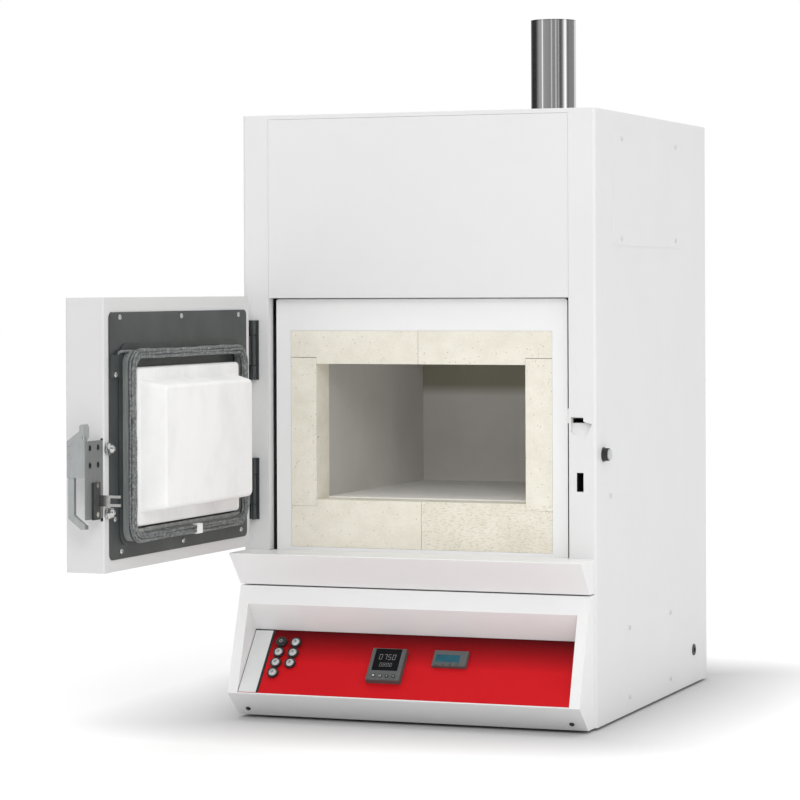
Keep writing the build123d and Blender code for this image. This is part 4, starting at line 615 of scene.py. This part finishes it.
def cross(reach, half_width):
    """The outline of a cross: one arm's corners, turned round in quarters."""
    points = [(half_width, half_width), (half_width, reach), (-half_width, reach)]
    for _ in range(3):
        points += [(-y, x) for x, y in points[-3:]]
    return points


def loop(made, matrix, points, height):
    """A closed ring of points and its edges."""
    verts = [made.verts.new(matrix @ Vector((x, y, height))) for x, y in points]
    return verts, [made.edges.new((a, b)) for a, b in zip(verts, verts[1:] + verts[:1])]


def wall(made, lower, upper):
    """Faces between two rings with as many points."""
    for i in range(len(lower)):
        j = (i + 1) % len(lower)
        made.faces.new((lower[i], lower[j], upper[j], upper[i]))


def skin(made, rings, closed=False):
    """Faces from ring to ring, then back to the first ring, or else a cap at each end."""
    for lower, upper in zip(rings, rings[1:]):
        wall(made, lower, upper)
    if closed:
        wall(made, rings[-1], rings[0])
    else:
        made.faces.new(rings[0])
        made.faces.new(rings[-1])


# Screws. The profile gives shares of the head's radius and of its height below the top.
HEAD_R = 3.5
HEAD_H = 1.8
HEAD_PROFILE = ((1.0, 1.0), (1.0, 0.62), (0.9, 0.25), (0.72, 0.0))
HEAD_SIDES = 24
SHANK_R = 0.55 * HEAD_R
SHANK_SIDES = 12
RECESS_TAPER = 0.8
CROSS_RECESS = cross(reach=1.9, half_width=0.45)
CROSS_DEPTH = 1.1
HEX_RECESS = circle(1.6, 6)
HEX_DEPTH = 1.3
HEAD_TURN = 0.3
DOOR_HEAD_TURN = 0.4


def screw_axis(points):
    """Where a screw's head ends, its direction outwards and its shank's far end."""
    centre = points.mean(0)
    spread = np.linalg.svd(points - centre)[2][0]
    along = (points - centre) @ spread
    across = np.linalg.norm((points - centre) - np.outer(along, spread), axis=1)
    if along[across.argmax()] < (along.max() + along.min()) / 2:
        spread = -spread
        along = -along
    return Vector(centre + spread * along.max()), Vector(spread), Vector(centre + spread * along.min())


def screw(made, points, recess, depth, turn=HEAD_TURN):
    """A pan head with a driving recess, and its shank."""
    tip, direction, end = screw_axis(points)
    seat = Matrix.Translation(tip) @ direction.to_track_quat("Z", "Y").to_matrix().to_4x4()
    seat = seat @ Matrix.Rotation(turn, 4, "Z") @ Matrix.Scale(MM, 4)
    rings = [loop(made, seat, circle(HEAD_R * r, HEAD_SIDES), -HEAD_H * h) for r, h in HEAD_PROFILE]
    for (lower, _), (upper, _) in zip(rings, rings[1:]):
        wall(made, lower, upper)
    rim, rim_edges = loop(made, seat, recess, 0)
    bmesh.ops.triangle_fill(made, edges=rings[-1][1] + rim_edges, use_beauty=True)
    bottom, _ = loop(made, seat, [(x * RECESS_TAPER, y * RECESS_TAPER) for x, y in recess], -depth)
    wall(made, rim, bottom)
    made.faces.new(bottom)
    made.faces.new(rings[0][0])
    length = (tip - end).length / MM
    skin(made, [loop(made, seat, circle(SHANK_R, SHANK_SIDES), z)[0] for z in (-length, -HEAD_H)])


def is_lip_screw(points):
    """The housing's lip has its screws in front of the pillars."""
    return points[:, 1].mean() < FRONT


def casing_screws(made):
    for points in islands("casing_screws"):
        if not is_lip_screw(points):
            screw(made, points, CROSS_RECESS, CROSS_DEPTH)


def lip_screws(made):
    for points in islands("casing_screws"):
        if is_lip_screw(points):
            screw(made, points, HEX_RECESS, HEX_DEPTH)


def door_screws(made):
    for number, points in enumerate(islands("door_screws")):
        screw(made, points, CROSS_RECESS, CROSS_DEPTH, turn=DOOR_HEAD_TURN * number)


CASING_SCREW = metal_finish("casing_screw", (0.66, 0.66, 0.66), 0.4, scale=90.0, spread=0.05, metallic=0.15)
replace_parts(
    piece("casing_screw_set", casing_screws, "cabinet", CASING_SCREW),
    "casing_screws",
)
piece("lip_screw_pair", lip_screws, "cabinet", MATERIALS["dark_plastic"])
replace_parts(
    piece("door_screw_set", door_screws, "door", MATERIALS["plated_screw"]),
    "door_screws",
)

# Rope seal: twisted strands side by side, round the plug. A strand's numbers are its place across the rope,
# how far it lies from the rope's middle towards the door's plate, and its radius. A wave's are its height,
# its length per radian, and how far it lags from strand to strand.
STRANDS = (
    (-4.4, 1.7, 1.75),
    (-1.5, 2.3, 1.75),
    (1.5, 2.3, 1.75),
    (4.4, 1.7, 1.75),
    (-3.4, -1.6, 2.0),
    (0.0, -1.9, 2.0),
    (3.4, -1.6, 2.0),
)
SWAY = ((0.45, 37.0, 1.9), (0.3, 9.0, 0.7))
LIFT = ((0.25, 29.0, 2.6), (0.25, 6.1, 1.3))
STRAND_STEP = 1.3
STRAND_SIDES = 10
STRAND_WAIST = 0.84
LAY_LENGTH = 7.5
ROPE_W = 12.5
ROPE_CORNER = 28.0
CLIP_MARGIN = 3.0
CLIP_SQUEEZE = 0.74

# The rope's end yarn, led out of the upper corner on the latch's side and bent into the plate. Its points are
# X, depth and Z.
TAIL = (
    (136.0, -9.6, 500.5),
    (146.0, -7.0, 502.6),
    (178.0, -5.6, 502.8),
    (184.0, -5.0, 501.5),
    (186.0, -3.6, 498.0),
)
TAIL_R = 1.9
TAIL_STEP = 1.2
TAIL_TWIST = 0.9


def seal_path():
    """The seal's length, its centre with the door shut, and a function from a distance along its line to a
    point from the centre and the direction outwards there."""
    low, high = closed_box("rope_seal")
    half = (high - low) / MM / 2
    corner = ROPE_CORNER - ROPE_W / 2
    a, b = half.x - ROPE_W / 2, half.z - ROPE_W / 2
    straight = (2 * (a - corner), 2 * (b - corner))
    arc = corner * pi / 2
    total = 2 * sum(straight) + 4 * arc

    def point(s):
        s %= total
        for side in range(4):
            run = straight[side % 2]
            reach = (b, a)[side % 2]
            out = Vector((cos(-pi / 2 + side * pi / 2), 0, sin(-pi / 2 + side * pi / 2)))
            ahead = Vector((-out.z, 0, out.x))
            if s <= run:
                return out * reach + ahead * (s - run / 2), out
            s -= run
            if s <= arc:
                turn = s / corner
                pivot = out * (reach - corner) + ahead * (run / 2)
                outward = out * cos(turn) + ahead * sin(turn)
                return pivot + outward * corner, outward
            s -= arc
        return point(0)

    return total, (high + low) / 2, point


def wander(waves, s, number):
    """How far a strand strays at a distance along the seal."""
    return sum(height * sin(s / length + number * lag) for height, length, lag in waves)


def swept(made, points, across, radii, lay, closed=True):
    """A twisted strand through points. ACROSS gives a direction square to each point's run."""
    rings = []
    for where, side, radius, turn in zip(points, across, radii, lay):
        ring = []
        for k in range(STRAND_SIDES):
            around = 2 * pi * k / STRAND_SIDES
            bulge = radius * (STRAND_WAIST + (1 - STRAND_WAIST) * abs(cos(1.5 * around + turn)))
            offset = side * (cos(around) * bulge) + Vector((0, sin(around) * bulge, 0))
            ring.append(made.verts.new(SWING @ (where + offset * MM)))
        rings.append(ring)
    skin(made, rings, closed)


def seal_strands(made):
    """The strands, which stray a little and are drawn in where the clip holds them."""
    total, centre, point = seal_path()
    clip_low, clip_high = closed_box("seal_clip")
    lay_length = total / round(total / LAY_LENGTH)
    count = int(total / STRAND_STEP)
    for number, (offset, depth, radius) in enumerate(STRANDS):
        points, sides, radii, lay = [], [], [], []
        for i in range(count):
            s = i * total / count
            where, out = point(s)
            place = centre + where * MM
            held = clip_low.x - CLIP_MARGIN * MM < place.x < clip_high.x + CLIP_MARGIN * MM and where.z < 0
            tight = CLIP_SQUEEZE if held else 1.0
            sideways = out * ((offset + wander(SWAY, s, number)) * tight)
            outwards = Vector((0, -(depth + wander(LIFT, s, number)) * tight, 0))
            points.append(place + (sideways + outwards) * MM)
            sides.append(out)
            radii.append(radius * tight)
            lay.append(2 * pi * s / lay_length + number)
        swept(made, points, sides, radii, lay)


def seal_tail(made):
    points = []
    for (x0, d0, z0), (x1, d1, z1) in zip(TAIL, TAIL[1:]):
        steps = max(2, int(abs(x1 - x0) / TAIL_STEP))
        for i in range(steps):
            t = i / steps
            points.append(at(x0 + (x1 - x0) * t, DOOR_FACE - (d0 + (d1 - d0) * t), z0 + (z1 - z0) * t))
    count = len(points)
    lay = [TAIL_TWIST * i for i in range(count)]
    swept(made, points, [Vector((0, 0, 1))] * count, [TAIL_R] * count, lay, closed=False)


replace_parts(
    piece("seal_strands", seal_strands, "door", MATERIALS["rope"], smooth=0),
    "rope_seal",
)
piece("seal_tail", seal_tail, "door", MATERIALS["rope"], smooth=0)

# The bracket's holes, from its right edge and down from the top of its web. Its curl stands over the web.
CURL_H = 20.5
HOLES_IN = (8.0, 29.5)
HOLES_DOWN = (8.5, 29.8)
LINER_PROFILE = ((3.9, 1.7), (3.9, 4.3), (2.8, 4.3), (2.8, 1.7))
LINER_SIDES = 24


def hole_shade_liners(made):
    """Dark liners in the bracket's four holes, inside the web's thickness, standing in for the shade in the holes.
    """
    corner = closed_box("latch_bracket")[1]
    right, top = corner.x / MM, (corner.z - BASE) / MM - CURL_H
    for x in (right - inwards for inwards in HOLES_IN):
        for z in (top - down for down in HOLES_DOWN):
            rings = [
                [made.verts.new(in_door(x + a, d, z + b)) for a, b in circle(radius, LINER_SIDES)]
                for radius, d in LINER_PROFILE
            ]
            skin(made, rings, closed=True)


# Painted shade: dark liners stand in for the shade inside the bracket's holes.
piece("hole_shade_liners", hole_shade_liners, "door", MATERIALS["dark_plastic"])

# Ledge on the collar, under the plug: a row of blocks whose edges towards the cabinet are bevelled.
LEDGE_X = (-160.0, 127.0)
LEDGE_Z = (275.4, 280.8)
LEDGE_D = (-11.15, -12.3)
LEDGE_BLOCKS = 9
LEDGE_BEVEL = 0.4
LEDGE_JOINT = 0.8


def stone_finish():
    """Grey stony filler."""
    f = Finish("ledge_filler", roughness=0.9)
    tone = f.ramp(
        f.noise(90.0, 6.0, 0.7),
        (0.3, (0.17, 0.175, 0.17)),
        (0.55, (0.26, 0.265, 0.26)),
        (0.8, (0.36, 0.36, 0.35)),
    )
    f.paint(tone)
    f.bump(f.noise(260.0, 5.0, 0.7), 0.2, 0.5)
    return f.material


def ledge_blocks(made):
    """Small blocks in a row, a joint apart."""
    pitch = (LEDGE_X[1] - LEDGE_X[0]) / LEDGE_BLOCKS
    middle_z = sum(LEDGE_Z) / 2
    outline = bar(LEDGE_Z[1] - LEDGE_Z[0], pitch - LEDGE_JOINT)
    small = bar(LEDGE_Z[1] - LEDGE_Z[0] - 2 * LEDGE_BEVEL, pitch - LEDGE_JOINT - 2 * LEDGE_BEVEL)
    back, front = LEDGE_D
    for i in range(LEDGE_BLOCKS):
        middle_x = LEDGE_X[0] + pitch * (i + 0.5)
        rings = [
            [made.verts.new(in_door(middle_x + x, d, middle_z + z)) for x, z in points]
            for points, d in ((outline, back), (outline, front + LEDGE_BEVEL), (small, front))
        ]
        skin(made, rings)


piece("ledge_blocks", ledge_blocks, "door", stone_finish())

# Marks on the controls: small and generic, on the pieces that carry them, sunk a hair into their tops.
MARK_T = 0.05
MARK_SINK = 0.02
RING_STEPS = 28
SMALL_KEYS = 0.6
INK = plastic_finish("mark_ink", (0.03, 0.03, 0.03), 0.5)
PALE_INK = plastic_finish("pale_ink", (0.55, 0.56, 0.56), 0.5)
DIM_INK = plastic_finish("dim_ink", (0.30, 0.305, 0.305), 0.5)


def top_of(name):
    """Middle of a control's top, as the control panel has it."""
    low, high = panel_box(mesh_points(name))
    return (low.x + high.x) / 2, (low.y + high.y) / 2, high.z


def mark_seat(x, y, z):
    return PANEL @ Matrix.Translation((x, y, z - MARK_SINK))


def flat_shape(made, points, x, y, z):
    """A thin raised shape on the panel's slope."""
    seat = mark_seat(x, y, z)
    skin(made, [loop(made, seat, points, height)[0] for height in (0, MARK_T)])


def flat_ring(made, x, y, z, inner, outer, gap=0.0):
    """A thin raised ring, open at its top by an angle on each side."""
    seat = mark_seat(x, y, z)
    start, end = pi / 2 + gap, pi / 2 + 2 * pi - gap
    profile = ((inner, 0), (outer, 0), (outer, MARK_T), (inner, MARK_T))
    rings = []
    for i in range(RING_STEPS + 1):
        a = start + (end - start) * i / RING_STEPS
        rings.append([made.verts.new(seat @ Vector((r * cos(a), r * sin(a), h))) for r, h in profile])
    skin(made, rings)


def triangle(size, up):
    """The outline of an arrow's head, up or down."""
    way = 1 if up else -1
    return [(-size, -size * 0.6 * way), (size, -size * 0.6 * way), (0, size * way)]


def power_mark(made):
    """An open ring and a bar."""
    x, y, z = top_of("power_button")
    flat_ring(made, x, y, z, inner=1.7, outer=2.2, gap=0.6)
    flat_shape(made, bar(length=2.2, width=0.5), x, y + 1.5, z)


def reset_mark(name):
    """A ring and a bar."""

    def make(made):
        x, y, z = top_of(name)
        flat_ring(made, x, y, z, inner=1.5, outer=2.1)
        flat_shape(made, bar(length=2.2, width=0.9), x + 0.2, y, z)

    return make


def key_mark(name):
    """A ring, an open ring or an arrow on a key."""
    scale = SMALL_KEYS if name.startswith("overtemp") else 1.0
    number = int(name[-1])

    def make(made):
        x, y, z = top_of(name)
        if number == 1:
            flat_ring(made, x, y, z, inner=0.5 * scale, outer=1.5 * scale)
        elif number == 2:
            flat_ring(made, x, y, z, inner=1.0 * scale, outer=1.6 * scale, gap=0.5)
        else:
            flat_shape(made, triangle(1.4 * scale, up=number == 4), x, y, z)

    return make


for name in BUTTONS:
    maker, ink = (power_mark, PALE_INK) if name == "power_button" else (reset_mark(name), INK)
    piece(f"{name}_mark", maker, name, ink)
for name in KEYS:
    bright = name in ("temperature_key_1", "temperature_key_2")
    piece(f"{name}_mark", key_mark(name), name, PALE_INK if bright else DIM_INK)

# Display digits, in plain bars: a to f clockwise from the top, and g in the middle.
SEGMENTS = {
    "0": "abcdef",
    "5": "afgcd",
    "7": "abc",
    "8": "abcdefg",
}
SEGMENT_PLACES = {
    "a": (0.0, 1.0, True),
    "g": (0.0, 0.0, True),
    "d": (0.0, -1.0, True),
    "b": (1.0, 0.5, False),
    "c": (1.0, -0.5, False),
    "f": (-1.0, 0.5, False),
    "e": (-1.0, -0.5, False),
}
DIGIT_LEAN = 0.08

# Each row has its text, how far it lies below the window's top, its pitch, and a digit's height, width and
# stroke.
DIGIT_ROWS = (
    ("0750", 12.6, 6.3, (8.2, 4.2, 0.45)),
    ("0800", 24.6, 4.7, (5.6, 3.0, 0.35)),
)


def digit(made, character, x, y, z, height, width, stroke):
    """One leaning digit, its middle at a place on the panel."""
    for name in SEGMENTS[character]:
        side, level, flat = SEGMENT_PLACES[name]
        outline = bar((width if flat else height / 2) - stroke, stroke)
        if flat:
            outline = [(b, a) for a, b in outline]
        across = side * (width - stroke) / 2 + DIGIT_LEAN * level * height / 2
        flat_shape(made, outline, x + across, y + level * (height - stroke) / 2, z)


def display_digits(made):
    """Two rows of digits in the left window."""
    boxes = [panel_box(points) for points in islands("controller_windows")]
    low, high = min(boxes, key=lambda box: box[0].x)
    for text, drop, pitch, size in DIGIT_ROWS:
        for i, character in enumerate(text):
            x = (low.x + high.x) / 2 + (i - (len(text) - 1) / 2) * pitch
            digit(made, character, x, high.y - drop, high.z, *size)


def digit_finish():
    """Dim lit segments."""
    f = Finish("lit_segment", roughness=0.5, Emission_Strength=0.1, Emission_Color=(0.7, 0.72, 0.72))
    f.paint(f.mottle(f.noise(300.0, 2.0), (0.15, 0.155, 0.155), (0.27, 0.275, 0.275)))
    return f.material


piece("display_digits", display_digits, "cabinet", digit_finish())

# Stage. The floor's painted shadow and its dimmer bounce of light are deepest within these half lengths and fade
# out beyond them, and the world's light grows from its horizon to its top.
FLOOR_SIZE = 30.0
PAINTED_SHADOW_HALF = {"X": 0.25, "Y": 0.34}
SKY_LOW = 0.56
SKY_TOP = 1.70
SKY_POWER = 3.0
LAMP_AIM = Vector((0.0, 0.0, 0.4))

# Studio walls that only reflections see, open at the back. Bearings are in degrees, 0 in front of the object
# and 90 at its right, each with its brightness. The span is half the walls' spread.
FLAG_SPAN = 150.0
FLAG_REACH = 6.0
FLAG_HEIGHT = 6.0
FLAG_STRENGTH = 2.0
FLAG_STEP = 5
FLAG_GLOW = (
    (-150, 0.30),
    (-118, 0.02),
    (-85, 0.03),
    (-62, 0.50),
    (-48, 0.55),
    (-43, 1.90),
    (-38, 0.50),
    (3, 0.36),
    (8, 1.00),
    (13, 0.36),
    (26, 0.36),
    (31, 1.00),
    (36, 0.34),
    (43, 0.30),
    (46, 0.90),
    (49, 0.20),
    (57, 0.12),
    (66, 0.30),
    (76, 1.20),
    (84, 2.00),
    (90, 1.00),
    (96, 0.22),
    (110, 0.33),
    (150, 0.36),
)


def stage_object(name, points, faces, material):
    mesh = bpy.data.meshes.new(name)
    mesh.from_pydata(points, [], faces)
    obj = bpy.data.objects.new(name, mesh)
    bpy.context.scene.collection.objects.link(obj)
    mesh.materials.append(material)
    return obj


def floor_material():
    """Pale floor with a painted shadow right beside the object, where it also bounces less light."""
    f = Finish("floor", roughness=0.6, Specular_IOR_Level=0.0)
    squares = []
    for name, half in PAINTED_SHADOW_HALF.items():
        past = f.math("MAXIMUM", f.math("SUBTRACT", f.math("ABSOLUTE", f.axis(name)), half), 0.0)
        squares.append(f.math("POWER", past, 2.0))
    away = f.math("POWER", f.math("ADD", *squares), 0.5)
    # Painted shadow: the floor darkens towards the object, both as the camera sees it and in the light it bounces.
    shaded_bounce = f.ramp(away, (0.0, 0.55), (0.14, 0.96))
    seen = f.ramp(away, (0.0, 0.58), (0.22, 1.0))
    path = f.nodes.new("ShaderNodeLightPath")
    f.paint(f.mix(path.outputs["Is Camera Ray"], shaded_bounce, seen))
    return f.material


def floor():
    points = [(x * FLOOR_SIZE, y * FLOOR_SIZE, 0) for x, y in ((-1, -1), (1, -1), (1, 1), (-1, 1))]
    stage_object("floor", points, [(0, 1, 2, 3)], floor_material())


def world_light():
    """White to the eye and in reflections; as light, brighter overhead than at the horizon."""
    world = bpy.data.worlds.new("studio")
    bpy.context.scene.world = world
    tree = Tree(world)
    up = tree.math("POWER", tree.axis("Z", "Generated"), SKY_POWER, clamp=True)
    light = tree.math("ADD", tree.math("MULTIPLY", up, SKY_TOP - SKY_LOW), SKY_LOW)
    path = tree.nodes.new("ShaderNodeLightPath").outputs
    plain = tree.math("MAXIMUM", path["Is Camera Ray"], path["Is Glossy Ray"])
    plain = tree.math("MAXIMUM", plain, path["Is Transmission Ray"])
    lift = tree.math("MULTIPLY", plain, tree.math("SUBTRACT", 1.0, light))
    background = tree.nodes["Background"].inputs
    background["Color"].default_value = colour(1.0)
    tree.link(tree.math("ADD", light, lift), background["Strength"])


def soft_light(name, place, size, power):
    """A large square lamp."""
    data = bpy.data.lights.new(name, "AREA")
    data.shape = "SQUARE"
    data.size = size
    data.energy = power
    obj = bpy.data.objects.new(name, data)
    bpy.context.scene.collection.objects.link(obj)
    obj.location = place
    obj.rotation_euler = (LAMP_AIM - Vector(place)).to_track_quat("-Z", "Y").to_euler()
    obj.visible_glossy = False


def flag_material():
    """Brightness of the studio's walls by their bearing."""
    f = Finish("flags", Base_Color=0.0, Emission_Strength=FLAG_STRENGTH)
    bearing = f.math("ARCTAN2", f.axis("X"), f.math("MULTIPLY", f.axis("Y"), -1.0))
    share = f.math("ADD", f.math("MULTIPLY", bearing, 180 / pi / FLAG_SPAN / 2), 0.5)
    stops = ((0.5 + angle / FLAG_SPAN / 2, glow / FLAG_STRENGTH) for angle, glow in FLAG_GLOW)
    f.link(f.ramp(share, *stops), f.shader.inputs["Emission Color"])
    f.material.cycles.emission_sampling = "NONE"
    return f.material


def flags():
    """The studio's walls, bent round it."""
    bearings = [radians(angle) for angle in range(int(-FLAG_SPAN), int(FLAG_SPAN) + 1, FLAG_STEP)]
    points = [(FLAG_REACH * sin(b), -FLAG_REACH * cos(b), z) for b in bearings for z in (0.0, FLAG_HEIGHT)]
    faces = [(2 * i, 2 * i + 2, 2 * i + 3, 2 * i + 1) for i in range(len(bearings) - 1)]
    obj = stage_object("flags", points, faces, flag_material())
    obj.visible_camera = False
    obj.visible_diffuse = False
    obj.visible_transmission = False
    obj.visible_shadow = False


floor()
world_light()
soft_light("right_softbox", (3.2, -1.6, 1.8), size=2.2, power=9.0)
soft_light("front_softbox", (1.6, -4.3, 2.5), size=1.6, power=48.0)
flags()

# Camera: its lens in millimetres, its place in metres and its turns in radians.
LENS = 136.886
CAMERA_AT = (1.42078, -4.11603, 0.58567)
CAMERA_TURN = 0.3599
CAMERA_ROLL = 0.0038
CAMERA_SHIFT_Y = -0.1415
FAR_END = 100.0


def place_camera():
    data = bpy.data.cameras.new("camera")
    camera = bpy.data.objects.new("camera", data)
    bpy.context.scene.collection.objects.link(camera)
    data.lens = LENS
    data.shift_y = CAMERA_SHIFT_Y
    data.clip_end = FAR_END
    turn = Matrix.Rotation(CAMERA_TURN, 4, "Z") @ Matrix.Rotation(pi / 2, 4, "X")
    camera.matrix_world = Matrix.Translation(CAMERA_AT) @ turn @ Matrix.Rotation(-CAMERA_ROLL, 4, "Z")
    bpy.context.scene.camera = camera


place_camera()
bpy.context.scene.view_settings.view_transform = "Standard"
